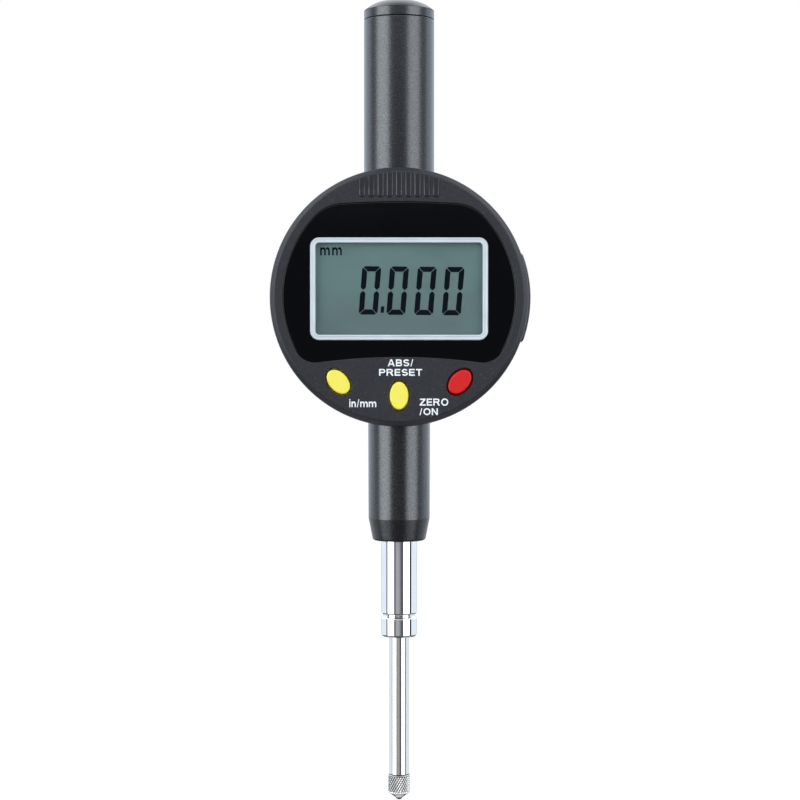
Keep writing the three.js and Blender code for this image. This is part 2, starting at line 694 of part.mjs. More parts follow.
function addButtons(group) {
  BUTTONS.forEach((button) => {
    group.add(piece(`button_${button.name}`, buttonCap(button), finish(button.colour, 0.45)));
    group.add(piece(`switch_plunger_${button.name}`, switchPlunger(button), M.chip()));
    group.add(piece(`tact_switch_${button.name}`, tactSwitch(button), M.steel()));
  });
}

function stemGroup() {
  const group = new THREE.Group();
  group.add(
    piece("stem", stem(), M.chrome()),
    piece("stem_end_bush", stemEndBush(), M.chrome()),
    piece("spindle", spindle(), M.steel()),
    piece("contact_point", contactPoint(), M.steel()),
    piece("contact_ball", contactBall(), M.darkSteel()),
  );
  return group;
}

const indicator = new THREE.Group();
indicator.add(caseGroup(), stemGroup());

export default indicator;
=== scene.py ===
"""Looks of the digital dial indicator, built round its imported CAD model.

Shapes are written in millimetres of the row frame and turned into metres as each mesh is made.
"""

import json
from collections import Counter
from math import atan2, cos, degrees, pi, radians, sin, sqrt, tan

import bmesh
import bpy
from mathutils import Matrix, Vector
from mathutils.geometry import tessellate_polygon


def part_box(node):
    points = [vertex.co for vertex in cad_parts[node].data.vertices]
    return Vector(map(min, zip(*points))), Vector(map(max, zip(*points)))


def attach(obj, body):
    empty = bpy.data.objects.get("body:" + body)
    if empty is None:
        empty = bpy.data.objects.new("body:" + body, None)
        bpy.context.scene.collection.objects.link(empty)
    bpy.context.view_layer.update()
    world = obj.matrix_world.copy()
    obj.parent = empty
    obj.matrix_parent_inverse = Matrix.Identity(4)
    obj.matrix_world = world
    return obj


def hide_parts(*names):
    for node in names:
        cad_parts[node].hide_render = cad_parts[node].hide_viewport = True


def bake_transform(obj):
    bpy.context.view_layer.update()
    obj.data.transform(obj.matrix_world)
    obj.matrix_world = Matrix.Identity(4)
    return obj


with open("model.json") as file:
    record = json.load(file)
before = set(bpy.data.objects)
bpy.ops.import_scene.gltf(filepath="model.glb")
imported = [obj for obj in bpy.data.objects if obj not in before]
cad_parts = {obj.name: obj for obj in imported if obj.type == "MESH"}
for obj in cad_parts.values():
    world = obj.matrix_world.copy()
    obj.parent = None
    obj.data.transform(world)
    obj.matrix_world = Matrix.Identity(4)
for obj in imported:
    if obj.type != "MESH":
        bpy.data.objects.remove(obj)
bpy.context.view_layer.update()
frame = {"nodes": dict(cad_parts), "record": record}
MM = 0.001


def mm_box(node):
    """Lowest and highest corner of a CAD node, in millimetres."""
    low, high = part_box(node)
    return Vector(low) / MM, Vector(high) / MM


# ---------------------------------------------------------------- places taken from the CAD model
COVER_LOW, COVER_HIGH = mm_box("rear_cover")
_, HOUSING_HIGH = mm_box("front_housing")
LENS_LOW, LENS_HIGH = mm_box("display_overlay")
BEZEL_LOW, BEZEL_HIGH = mm_box("lcd_bezel")
LCD_LOW, LCD_HIGH = mm_box("lcd_panel")
WINDOW_LOW, WINDOW_HIGH = mm_box("display_window")
TUBE_LOW, TUBE_HIGH = mm_box("upper_tube")
CAP_LOW, CAP_HIGH = mm_box("tube_cap")
SLEEVE_LOW, SLEEVE_HIGH = mm_box("lower_sleeve")
STEM_LOW, STEM_HIGH = mm_box("stem")
BUSH_LOW, BUSH_HIGH = mm_box("stem_end_bush")
SPINDLE_LOW, SPINDLE_HIGH = mm_box("spindle")
POINT_LOW, POINT_HIGH = mm_box("contact_point")
BALL_LOW, BALL_HIGH = mm_box("contact_ball")
_, DOOR_HIGH = mm_box("battery_drawer")
CELL_LOW, CELL_HIGH = mm_box("coin_cell")

CASE_Z = (COVER_LOW.z + COVER_HIGH.z) / 2
CASE_R = HOUSING_HIGH.x
FACE_Y = LENS_LOW.y
BACK_Y = HOUSING_HIGH.y
COVER_R = COVER_HIGH.x
TUBE_R = TUBE_HIGH.x
SLEEVE_R = SLEEVE_HIGH.x
STEM_R = STEM_HIGH.x
SPINDLE_R = SPINDLE_HIGH.x
SCREEN_Z = (BEZEL_LOW.z + BEZEL_HIGH.z) / 2 - CASE_Z


# ---------------------------------------------------------------- mesh helpers
class Build:
    """A mesh in the making, in millimetres."""

    def __init__(self):
        self.bm = bmesh.new()

    def loop(self, points):
        return [self.bm.verts.new(p) for p in points]

    def bridge(self, a, b):
        n = len(a)
        for i in range(n):
            j = (i + 1) % n
            self.bm.faces.new((a[i], a[j], b[j], b[i]))

    def chain(self, loops):
        """Joins loops of equal length into one skin."""
        for a, b in zip(loops, loops[1:]):
            self.bridge(a, b)

    def skin(self, loops):
        """Joins loops of equal length and closes both ends."""
        self.chain(loops)
        self.fill(loops[0])
        self.fill(loops[-1])

    def fan(self, loop, tip):
        n = len(loop)
        for i in range(n):
            self.bm.faces.new((loop[i], loop[(i + 1) % n], tip))

    def fill(self, *loops):
        """A flat face with its outer loop first, and then the loops of its holes."""
        verts = [v for one in loops for v in one]
        for corners in tessellate_polygon([[v.co for v in one] for one in loops]):
            if len(set(corners)) == 3:
                self.bm.faces.new([verts[k] for k in corners])

    def object(self, name, sharp=32, smooth=True):
        bmesh.ops.recalc_face_normals(self.bm, faces=self.bm.faces)
        bmesh.ops.scale(self.bm, vec=(MM, MM, MM), verts=self.bm.verts)
        mesh = bpy.data.meshes.new(name)
        self.bm.to_mesh(mesh)
        self.bm.free()
        obj = bpy.data.objects.new(name, mesh)
        bpy.context.collection.objects.link(obj)
        if smooth:
            soften(obj, sharp)
        return obj


def soften(obj, sharp=32):
    """Smooth shading that keeps edges sharper than this angle, and keeps faces square to Y or Z flat."""
    mesh = obj.data
    flats = Counter()
    for face in mesh.polygons:
        face.use_smooth = True
        if max(abs(face.normal.y), abs(face.normal.z)) > 0.99999:
            flats.update(mesh.loops[index].edge_index for index in face.loop_indices)
    mesh.set_sharp_from_angle(angle=radians(sharp))
    for edge, count in flats.items():
        if count == 1:
            mesh.edges[edge].use_edge_sharp = True
    if "normals" not in obj.modifiers:
        normals = obj.modifiers.new("normals", "WEIGHTED_NORMAL")
        normals.keep_sharp = True
        normals.weight = 80


def arc(x, y, r, start, end, steps=8):
    angles = [radians(start + (end - start) * i / steps) for i in range(steps + 1)]
    return [Vector((x + r * cos(a), y + r * sin(a))) for a in angles]


def circle(x, y, r, steps=64):
    return arc(x, y, r, 0, 360, steps)[:-1]


def rounded_box(x, y, w, h, r, steps=8):
    dx, dy = w / 2 - r, h / 2 - r
    corners = [(dx, dy, 0), (-dx, dy, 90), (-dx, -dy, 180), (dx, -dy, 270)]
    return [p for cx, cy, a in corners for p in arc(x + cx, y + cy, r, a, a + 90, steps)]


def inset(points, distance):
    """An anticlockwise loop moved inwards by a distance, or outwards if it is negative."""
    moved = []
    n = len(points)
    for i, p in enumerate(points):
        before = (p - points[i - 1]).normalized()
        after = (points[(i + 1) % n] - p).normalized()
        side = Vector((-before.y - after.y, before.x + after.x)).normalized()
        moved.append(p + side * (distance / max(0.5, side.dot(Vector((-after.y, after.x))))))
    return moved


def facing(points, y):
    """Points of the case's own X and Z at a depth of y, in the row frame."""
    return [Vector((p.x, y, p.y + CASE_Z)) for p in points]


def rounding(edge, steps=4):
    """Steps of a rounded edge from its flat face outwards: (distance in from the side, depth)."""
    angles = [radians(90 * i / steps) for i in range(steps + 1)]
    return [(edge * (1 - sin(a)), edge * (1 - cos(a))) for a in angles]


def slab_loops(build, outline, front, back, front_edge, back_edge, steps=4):
    loops = [build.loop(facing(inset(outline, i), front + d)) for i, d in rounding(front_edge, steps)]
    back_steps = rounding(back_edge, 2) if back_edge else [(0, 0)]
    loops += [build.loop(facing(inset(outline, i), back - d)) for i, d in reversed(back_steps)]
    build.chain(loops)
    return loops


def slab(name, outline, front, back, front_edge=0.15, back_edge=0.1, holes=(), steps=4):
    """A plate across the case with rounded edges. A hole's outline is anticlockwise too."""
    build = Build()
    outer = slab_loops(build, outline, front, back, front_edge, back_edge, steps)
    inner = []
    for hole, hole_edge in holes:
        out = [(-i, d) for i, d in rounding(hole_edge, steps)]
        loops = [build.loop(facing(inset(hole, i), front + d)) for i, d in out]
        loops.append(build.loop(facing(hole, back)))
        build.chain(loops)
        inner.append(loops)
    build.fill(outer[0], *[loops[0] for loops in inner])
    build.fill(outer[-1], *[loops[-1] for loops in inner])
    return build.object(name)


def fillet(profile, radii, steps=5):
    """Rounds the corners of an open profile. radii maps a corner's index to its radius."""
    out = []
    for i, p in enumerate(profile):
        p = Vector(p)
        if i not in radii:
            out.append(p)
            continue
        back, ahead = Vector(profile[i - 1]) - p, Vector(profile[i + 1]) - p
        half = back.angle(ahead) / 2
        cut = min(radii[i] / tan(half), 0.49 * back.length, 0.49 * ahead.length)
        r = cut * tan(half)
        centre = p + (back.normalized() + ahead.normalized()).normalized() * (r / sin(half))
        a = p + back.normalized() * cut - centre
        b = p + ahead.normalized() * cut - centre
        sweep = atan2(a.x * b.y - a.y * b.x, a.dot(b))
        for k in range(steps + 1):
            turn = sweep * k / steps
            c, s = cos(turn), sin(turn)
            out.append(centre + Vector((c * a.x - s * a.y, s * a.x + c * a.y)))
    return out


def ring_of(r, h, steps, axis):
    if axis == "z":
        return [Vector((p.x, p.y, h)) for p in circle(0, 0, r, steps)]
    return facing(circle(0, 0, r, steps), h)


def turned_skin(build, profile, steps=96, axis="z", closed=False):
    """Adds a solid of revolution. A profile that isn't closed starts and ends on the axis."""
    loops = [build.loop(ring_of(r, h, steps, axis)) for r, h in (profile if closed else profile[1:-1])]
    build.chain(loops)
    if closed:
        build.bridge(loops[-1], loops[0])
        return
    for loop, (_, h) in ((loops[0], profile[0]), (loops[-1], profile[-1])):
        tip = Vector((0, 0, h)) if axis == "z" else Vector((0, h, CASE_Z))
        build.fan(loop, build.bm.verts.new(tip))


def turned(name, profile, radii=None, steps=96, axis="z", closed=False, sharp=32):
    build = Build()
    turned_skin(build, fillet(profile, radii or {}), steps, axis, closed)
    return build.object(name, sharp)


def bar(build, low, high):
    """Adds a plain box between two corners, for cutters and inner parts."""
    ends = list(zip(low, high))
    v = build.loop([Vector((x, y, z)) for z in ends[2] for y in ends[1] for x in ends[0]])
    for face in ((0, 1, 3, 2), (4, 6, 7, 5), (0, 4, 5, 1), (2, 3, 7, 6), (0, 2, 6, 4), (1, 5, 7, 3)):
        build.bm.faces.new([v[k] for k in face])


def shape(obj, tool, operation="DIFFERENCE", sharp=32):
    """Cuts a closed mesh with another or joins them, and then removes the tool."""
    modifier = obj.modifiers.new("shape", "BOOLEAN")
    modifier.operation = operation
    modifier.solver = "EXACT"
    modifier.object = tool
    while obj.modifiers[0] != modifier:
        obj.modifiers.move(len(obj.modifiers) - 1, 0)
    normals = obj.modifiers.get("normals")
    if normals:
        obj.modifiers.remove(normals)
    graph = bpy.context.evaluated_depsgraph_get()
    mesh = bpy.data.meshes.new_from_object(obj.evaluated_get(graph))
    obj.modifiers.clear()
    old = obj.data
    obj.data = mesh
    bpy.data.meshes.remove(old)
    bpy.data.objects.remove(tool, do_unlink=True)
    soften(obj, sharp)
    return obj


def carve(obj, name, add, *where, operation="DIFFERENCE"):
    """Cuts one bar or rod from a closed mesh, or joins it on."""
    tool = Build()
    add(tool, *where)
    shape(obj, tool.object(name), operation)


# ---------------------------------------------------------------- material helpers
def opaque(colour):
    """A colour with its alpha. A socket stays as it is."""
    return (*colour, 1) if isinstance(colour, tuple) else colour


class Nodes:
    """A node tree with short ways to add nodes. An input called i3 is number 3, and a _ is a space."""

    def __init__(self, owner):
        owner.use_nodes = True
        self.tree = owner.node_tree

    def link(self, value, socket):
        if isinstance(value, bpy.types.NodeSocket):
            self.tree.links.new(value, socket)
        else:
            socket.default_value = value

    def node(self, kind, out=0, attributes=(), **inputs):
        node = self.tree.nodes.new("ShaderNode" + kind)
        for key, value in dict(attributes).items():
            setattr(node, key, value)
        for key, value in inputs.items():
            index = int(key[1:]) if key[0] == "i" and key[1:].isdigit() else key.replace("_", " ")
            self.link(value, node.inputs[index])
        return node.outputs[out]

    def split(self, vector):
        split = self.tree.nodes.new("ShaderNodeSeparateXYZ")
        self.link(vector, split.inputs[0])
        return split.outputs

    def spread(self, value, low, high, to_low=0.0, to_high=1.0, smooth=False):
        """Goes from to_low to to_high as the value goes from low to high."""
        kind = {"interpolation_type": "SMOOTHSTEP"} if smooth else {}
        return self.node("MapRange", 0, kind, Value=value, i1=low, i2=high, i3=to_low, i4=to_high)

    def mixed(self, factor, a, b):
        return self.node("Mix", 2, {"data_type": "RGBA"}, i0=factor, i6=opaque(a), i7=opaque(b))

    def maths(self, operation, a, b=0.0):
        return self.node("Math", 0, {"operation": operation}, i0=a, i1=b)


class Finish(Nodes):
    """A node material with short ways to add patterns. Lengths are in millimetres."""

    def __init__(self, name, **settings):
        self.material = bpy.data.materials.new(name)
        super().__init__(self.material)
        self.shader = self.tree.nodes["Principled BSDF"]
        for socket, value in settings.items():
            self.shader.inputs[socket.replace("_", " ")].default_value = value
        coords = self.tree.nodes.new("ShaderNodeTexCoord")
        self.place = self.scaled(coords.outputs["Object"], (1000, 1000, 1000))
        self.normal = None

    def scaled(self, vector, scale):
        return self.node("Mapping", Vector=vector, Scale=scale)

    def axes(self):
        """X, Y and Z of the place on the object, in millimetres."""
        return self.split(self.place)

    def noise(self, size, detail=3.0, roughness=0.55, stretch=(1, 1, 1)):
        """Noise with blobs about size millimetres across."""
        where = self.scaled(self.place, stretch) if stretch != (1, 1, 1) else self.place
        return self.node("TexNoise", Vector=where, Scale=1 / size, Detail=detail, Roughness=roughness)

    def cells(self, size):
        return self.node("TexVoronoi", Vector=self.place, Scale=1 / size)

    def colour(self, value):
        self.link(opaque(value), self.shader.inputs["Base Color"])

    def tint(self, pattern, low, high, start=0.3, end=0.7):
        """Colour from low to high as a pattern goes from start to end."""
        self.colour(self.mixed(self.spread(pattern, start, end), low, high))

    def rough(self, value):
        self.link(value, self.shader.inputs["Roughness"])

    def gloss(self, pattern, low, high):
        """Roughness from low to high over the usual range of a noise."""
        self.rough(self.spread(pattern, 0.3, 0.7, low, high))

    def bump(self, height, strength, depth):
        """Adds relief of a depth in millimetres on top of any before it."""
        inputs = {"Height": height, "Strength": strength, "Distance": depth * MM}
        if self.normal:
            inputs["Normal"] = self.normal
        self.normal = self.node("Bump", 0, **inputs)
        self.link(self.normal, self.shader.inputs["Normal"])


def linear(red, green, blue):
    """A colour as 0 to 255 display values, in linear light."""
    def one(v):
        v /= 255
        return v / 12.92 if v <= 0.04045 else ((v + 0.055) / 1.055) ** 2.4

    return one(red), one(green), one(blue)


# ---------------------------------------------------------------- materials
RIB_COUNT, RIB_PITCH, RIB_HALF, RIB_LOW = 9, 2.0, 0.7, 21.5


def case_plastic():
    """Spark-eroded black plastic: fine even grain with small brighter specks."""
    m = Finish("case_plastic", Specular_IOR_Level=0.5)
    grain = m.noise(0.34, 4, 0.62)
    broad = m.noise(7, 2)
    base = m.mixed(m.spread(grain, 0.32, 0.68), (0.0125, 0.0138, 0.0178), (0.0268, 0.0294, 0.0366))
    specks = m.spread(m.cells(0.5), 0.05, 0.2, 1, 0)
    rare = m.spread(m.noise(1.3, 2), 0.52, 0.62)
    m.colour(m.mixed(m.maths("MULTIPLY", specks, rare), base, (0.16, 0.17, 0.18)))
    x, y, z = m.axes()
    ribs = m.maths(
        "MULTIPLY", m.spread(m.maths("ABSOLUTE", x), 9, 8.7), m.spread(z, CASE_Z + 21.2, CASE_Z + RIB_LOW)
    )
    worn = m.maths("MULTIPLY", ribs, m.spread(y, FACE_Y - 0.02, FACE_Y - 0.05))
    matt = m.spread(m.maths("ADD", grain, m.maths("MULTIPLY", broad, 0.4)), 0.4, 1.0, 0.36, 0.52)
    m.rough(m.maths("SUBTRACT", matt, m.maths("MULTIPLY", worn, m.maths("SUBTRACT", matt, 0.28))))
    m.bump(grain, 0.6, 0.05)
    m.bump(m.cells(0.36), 0.4, 0.03)
    return m.material


def rear_cover_metal():
    m = Finish("rear_cover", Metallic=0.35, Specular_IOR_Level=0.5)
    brush = m.noise(0.25, 4, 0.65, (0.06, 1, 1))
    blast = m.noise(0.18, 3)
    m.tint(brush, (0.03, 0.031, 0.034), (0.055, 0.056, 0.06))
    m.rough(m.spread(m.maths("ADD", brush, blast), 0.7, 1.3, 0.36, 0.52))
    m.bump(brush, 0.35, 0.012)
    m.bump(blast, 0.3, 0.01)
    return m.material


def rubber():
    m = Finish("rubber", Specular_IOR_Level=0.35)
    grain = m.noise(0.12, 3)
    m.tint(grain, (0.016, 0.016, 0.017), (0.03, 0.03, 0.031))
    m.gloss(grain, 0.75, 0.9)
    m.bump(grain, 0.4, 0.02)
    return m.material


def gloss_black():
    """Polished shield with faint waviness and a few hairline marks."""
    m = Finish("gloss_black", Specular_IOR_Level=0.5)
    wave = m.noise(9, 2)
    dust = m.spread(m.cells(1.7), 0.02, 0.05, 1, 0)
    m.colour(m.mixed(m.maths("MULTIPLY", dust, 0.12), (0.0026, 0.0028, 0.0034), (0.05, 0.05, 0.05)))
    hair = m.spread(m.noise(0.35, 4, 0.7, (0.05, 1, 1)), 0.62, 0.72, 0, 0.03)
    m.rough(m.maths("ADD", m.spread(wave, 0.3, 0.7, 0.05, 0.09), hair))
    m.bump(wave, 0.2, 0.01)
    return m.material


def bezel_white():
    m = Finish("bezel_white", Specular_IOR_Level=0.5)
    grain = m.noise(0.2, 3)
    broad = m.noise(5, 2)
    m.tint(broad, linear(203, 214, 221), linear(210, 222, 229), 0.35, 0.65)
    m.gloss(grain, 0.16, 0.26)
    m.bump(grain, 0.2, 0.004)
    return m.material


def clear_window():
    m = Finish("clear_window", Alpha=0.07, Specular_IOR_Level=0.5)
    film = m.noise(7, 2)
    m.tint(film, (0.012, 0.016, 0.016), (0.02, 0.026, 0.026))
    m.gloss(film, 0.04, 0.09)
    return m.material


def lcd_glass():
    """Reflective display glass: a grey-green polariser with faint vertical banding, and painted light that
    makes it brighter towards the top.
    """
    m = Finish("lcd_glass", Specular_IOR_Level=0.4)
    # painted light: the colour of the glass grows brighter from its lower edge upwards
    painted_top_light = m.spread(m.axes()[2], LCD_LOW.z, LCD_LOW.z + 15)
    broad = m.noise(11, 2, 0.5, (1, 1, 1.6))
    weave = m.noise(0.16, 2)
    # painted light mixed with a random tone
    painted_light_and_tone = m.maths("ADD", m.maths("MULTIPLY", painted_top_light, 0.6), m.spread(broad, 0.36, 0.64, 0, 0.4))
    base = m.mixed(painted_light_and_tone, linear(105, 123, 125), linear(115, 145, 143))
    m.colour(m.mixed(m.spread(weave, 0.3, 0.7, 0, 0.25), base, linear(98, 126, 127)))
    m.gloss(weave, 0.28, 0.4)
    m.bump(weave, 0.2, 0.004)
    return m.material


def lcd_segment():
    m = Finish("lcd_segment", Specular_IOR_Level=0.04)
    blot = m.noise(0.5, 3)
    m.tint(blot, (0.0022, 0.0038, 0.0095), (0.004, 0.0065, 0.0135))
    m.gloss(blot, 0.35, 0.45)
    return m.material


def printed_white():
    m = Finish("printed_white", Specular_IOR_Level=0.4)
    blot = m.noise(0.25, 3)
    m.tint(blot, linear(234, 242, 248), linear(249, 252, 254))
    m.gloss(blot, 0.45, 0.6)
    m.bump(blot, 0.3, 0.01)
    return m.material


def button_plastic(name, low, high):
    """Satin silicone key: softly mottled with a very fine grain."""
    m = Finish(name, Specular_IOR_Level=0.45)
    blot = m.noise(1.6, 2)
    grain = m.noise(0.14, 3)
    m.tint(blot, low, high, 0.35, 0.65)
    m.gloss(grain, 0.42, 0.56)
    m.bump(grain, 0.25, 0.008)
    return m.material


def circuit_board():
    """Green solder mask over copper: traces show as paler runs, with glass weave below."""
    m = Finish("circuit_board", Specular_IOR_Level=0.5)
    weave = m.node("TexChecker", 1, Vector=m.place, Scale=2.2)
    runs = m.node("TexBrick", 1, Vector=m.place, Scale=0.55, Mortar_Size=0.07, Mortar_Smooth=0.3)
    base = m.mixed(m.spread(weave, 0, 1, 0, 0.25), (0.012, 0.075, 0.03), (0.018, 0.1, 0.04))
    m.colour(m.mixed(m.maths("MULTIPLY", runs, 0.7), base, (0.05, 0.2, 0.08)))
    m.gloss(m.noise(0.4, 3), 0.28, 0.42)
    m.bump(runs, 0.4, 0.03)
    return m.material


def black_resin():
    m = Finish("black_resin", Specular_IOR_Level=0.5)
    wave = m.noise(0.8, 3)
    m.tint(wave, (0.008, 0.008, 0.009), (0.02, 0.02, 0.022))
    m.gloss(wave, 0.2, 0.38)
    m.bump(wave, 0.3, 0.03)
    return m.material


def metal(name, low, high, rough, size, stretch, depth):
    """Metal with fine directional or even texture."""
    m = Finish(name, Metallic=1.0)
    texture = m.noise(size, 4, 0.6, stretch)
    stain = m.noise(size * 24, 2)
    both = m.maths("ADD", m.maths("MULTIPLY", texture, 0.6), m.maths("MULTIPLY", stain, 0.4))
    m.tint(both, low, high, 0.35, 0.65)
    m.gloss(texture, rough[0], rough[1])
    m.bump(texture, 0.3, depth)
    return m


def anodised_black():
    """Matte black anodising over a bead-blast grain."""
    m = Finish("anodised_black", Metallic=1.0)
    grain = m.noise(0.3, 2, 0.6)
    speck = m.noise(0.24, 1)
    m.tint(speck, (0.07, 0.0715, 0.075), (0.107, 0.11, 0.1155), 0.34, 0.66)
    m.gloss(grain, 0.24, 0.33)
    m.bump(grain, 0.4, 0.026)
    return m.material


def plated_stem():
    low, high = (0.86, 0.88, 0.91), (0.92, 0.935, 0.955)
    return metal("plated_stem", low, high, (0.042, 0.048), 0.1, (0.04, 0.04, 1), 0.0002).material


def ground_steel():
    low, high = (0.8, 0.795, 0.79), (0.88, 0.88, 0.88)
    return metal("ground_steel", low, high, (0.04, 0.08), 0.07, (0.05, 0.05, 1), 0.0003).material


def steel(name, low=(0.5, 0.5, 0.49), high=(0.68, 0.68, 0.67), rough=(0.25, 0.42)):
    return metal(name, low, high, rough, 0.12, (1, 1, 0.15), 0.01).material


def knurled_steel():
    """Bright on the crests of the knurl, with painted shade at the bottom of its cuts."""
    m = metal("knurled_steel", (0.5, 0.5, 0.49), (0.68, 0.68, 0.67), (0.2, 0.32), 0.12, (1, 1, 0.15), 0.008)
    x, y, z = m.axes()
    radius = m.maths("SQRT", m.maths("ADD", m.maths("MULTIPLY", x, x), m.maths("MULTIPLY", y, y)))
    crest = m.spread(radius, POINT_HIGH.x - 0.16, POINT_HIGH.x - 0.04)
    # painted shade: a darker colour where the knurl is cut in, at the bottom of each cut
    cut = m.maths("MULTIPLY", m.spread(crest, 0, 1, 1, 0), m.spread(z, POINT_LOW.z + 0.6, POINT_LOW.z + 0.7))
    grain = m.noise(0.12, 3)
    worn = m.mixed(m.spread(grain, 0.3, 0.7), (0.66, 0.66, 0.65), (0.8, 0.8, 0.79))
    # the dark colour here is the painted shade in the cuts
    m.colour(m.mixed(cut, worn, (0.24, 0.235, 0.225)))
    return m.material


def cast_metal():
    m = metal("cast_metal", (0.34, 0.34, 0.35), (0.48, 0.48, 0.49), (0.45, 0.65), 0.2, (1, 1, 1), 0.03)
    m.bump(m.cells(0.5), 0.3, 0.02)
    return m.material


def bronze():
    m = metal("bronze", (0.42, 0.26, 0.1), (0.62, 0.42, 0.18), (0.35, 0.55), 0.1, (1, 1, 1), 0.02)
    m.bump(m.cells(0.25), 0.4, 0.015)
    return m.material


YELLOW_LOW, YELLOW_HIGH = (0.93, 0.845, 0.116), (0.95, 0.865, 0.122)
RED_LOW, RED_HIGH = (0.65, 0.005, 0.005), (0.68, 0.006, 0.006)
MATERIALS = {
    "case_plastic": case_plastic(),
    "rear_cover": rear_cover_metal(),
    "rubber": rubber(),
    "gloss_black": gloss_black(),
    "bezel_white": bezel_white(),
    "clear_window": clear_window(),
    "lcd_glass": lcd_glass(),
    "circuit_board": circuit_board(),
    "black_resin": black_resin(),
    "cell_steel": steel("cell_steel", (0.66, 0.66, 0.65), (0.8, 0.8, 0.79), (0.18, 0.3)),
    "contact_steel": steel("contact_steel"),
    "cast_metal": cast_metal(),
    "anodised_black": anodised_black(),
    "bronze": bronze(),
    "plated_stem": plated_stem(),
    "ground_steel": ground_steel(),
    "knurled_steel": knurled_steel(),
    "ball_steel": steel("ball_steel", (0.09, 0.1, 0.13), (0.16, 0.17, 0.2), (0.12, 0.2)),
    "screw_steel": steel("screw_steel", (0.5, 0.5, 0.5), (0.7, 0.7, 0.69), (0.2, 0.36)),
    "button_yellow": button_plastic("button_yellow", YELLOW_LOW, YELLOW_HIGH),
    "button_red": button_plastic("button_red", RED_LOW, RED_HIGH),
}
SEGMENT = lcd_segment()
PRINT = printed_white()


def place(obj, body, slot, *nodes, finish=None):
    """Gives a new piece its finish, its body and the CAD nodes that it stands for."""
    obj.data.materials.clear()
    obj.data.materials.append(finish or MATERIALS[slot])
    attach(obj, body)
    if nodes:
        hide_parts(*nodes)
    return obj


# ---------------------------------------------------------------- outlines
LENS_R = (LENS_HIGH.x - LENS_LOW.x) / 2
LENS_TOP = LENS_HIGH.z - CASE_Z
LENS_TOP_ARC, LENS_TOP_CORNER = 187, 9
LENS_BOTTOM = -12.95
LENS_BOTTOM_ARC, LENS_BOTTOM_CORNER = 130, 4.8


def from_two_centres(z1, d1, z2, d2):
    """The point at x > 0 that lies d1 from (0, z1) and d2 from (0, z2)."""
    z = (d1 * d1 - d2 * d2 + z2 * z2 - z1 * z1) / (2 * (z2 - z1))
    return Vector((sqrt(d1 * d1 - (z - z1) ** 2), z))


def angle_of(v):
    return degrees(atan2(v.y, v.x))


def lens_outline(grow=0.0):
    """The shield: two arcs of one circle, a crowned top and a bottom edge bowed upwards."""
    side = LENS_R + grow
    top_r, low_r = LENS_TOP_ARC + grow, LENS_BOTTOM_ARC - grow
    top_z, low_z = LENS_TOP - LENS_TOP_ARC, LENS_BOTTOM - LENS_BOTTOM_ARC
    high, low = LENS_TOP_CORNER, LENS_BOTTOM_CORNER
    a = from_two_centres(0, side - high, top_z, top_r - high)
    b = from_two_centres(0, side - low, low_z, low_r + low)
    a_side, a_top = angle_of(a), angle_of(a - Vector((0, top_z)))
    b_side, b_low = angle_of(b), angle_of(b - Vector((0, low_z)))
    half = arc(0, low_z, low_r, 90, b_low, 16)[:-1]
    half += arc(b.x, b.y, low, b_low - 180, b_side, 14)
    half += arc(0, 0, side, b_side, a_side, 40)[1:-1]
    half += arc(a.x, a.y, high, a_side, a_top, 14)
    half += arc(0, top_z, top_r, a_top, 90, 16)[1:]
    return half + [Vector((-p.x, p.y)) for p in reversed(half[1:-1])]


BEZEL_W, BEZEL_H = BEZEL_HIGH.x - BEZEL_LOW.x, BEZEL_HIGH.z - BEZEL_LOW.z
BEZEL_CORNER = 1.95
BEZEL_RIM = 1.15


def bezel_outline(grow=0.0):
    return rounded_box(0, SCREEN_Z, BEZEL_W + 2 * grow, BEZEL_H + 2 * grow, BEZEL_CORNER + grow, 10)


KEY_HALF_W, KEY_HALF_H = 2.02, 3.01
KEY_GAP = 0.44


def button_outline(spot, grow=0.0):
    """An oval key's outline, turned on the face."""
    x, z, turn = spot
    spin = Matrix.Rotation(radians(turn), 2)
    half_w, half_h = KEY_HALF_W + grow, KEY_HALF_H + grow
    return [spin @ Vector((p.x * half_w, p.y * half_h)) + Vector((x, z)) for p in circle(0, 0, 1, 72)]


def button_spot(name, turn):
    low, high = mm_box("button_" + name)
    return (low.x + high.x) / 2, (low.z + high.z) / 2 - CASE_Z, turn


KEY_TURNS = {"in_mm": 42, "abs_preset": 0, "zero_on": -42}
BUTTONS = {name: button_spot(name, turn) for name, turn in KEY_TURNS.items()}


# ---------------------------------------------------------------- case
FACE_INNER_Y = FACE_Y + 2
POCKET_Y = LENS_HIGH.y + 0.02
LEDGE_Y = BACK_Y - 2
COVER_FRONT_Y = COVER_LOW.y
RIB_FRONT, RIB_END_R = FACE_Y - 0.26, 26.85
CASE_STEPS = 240


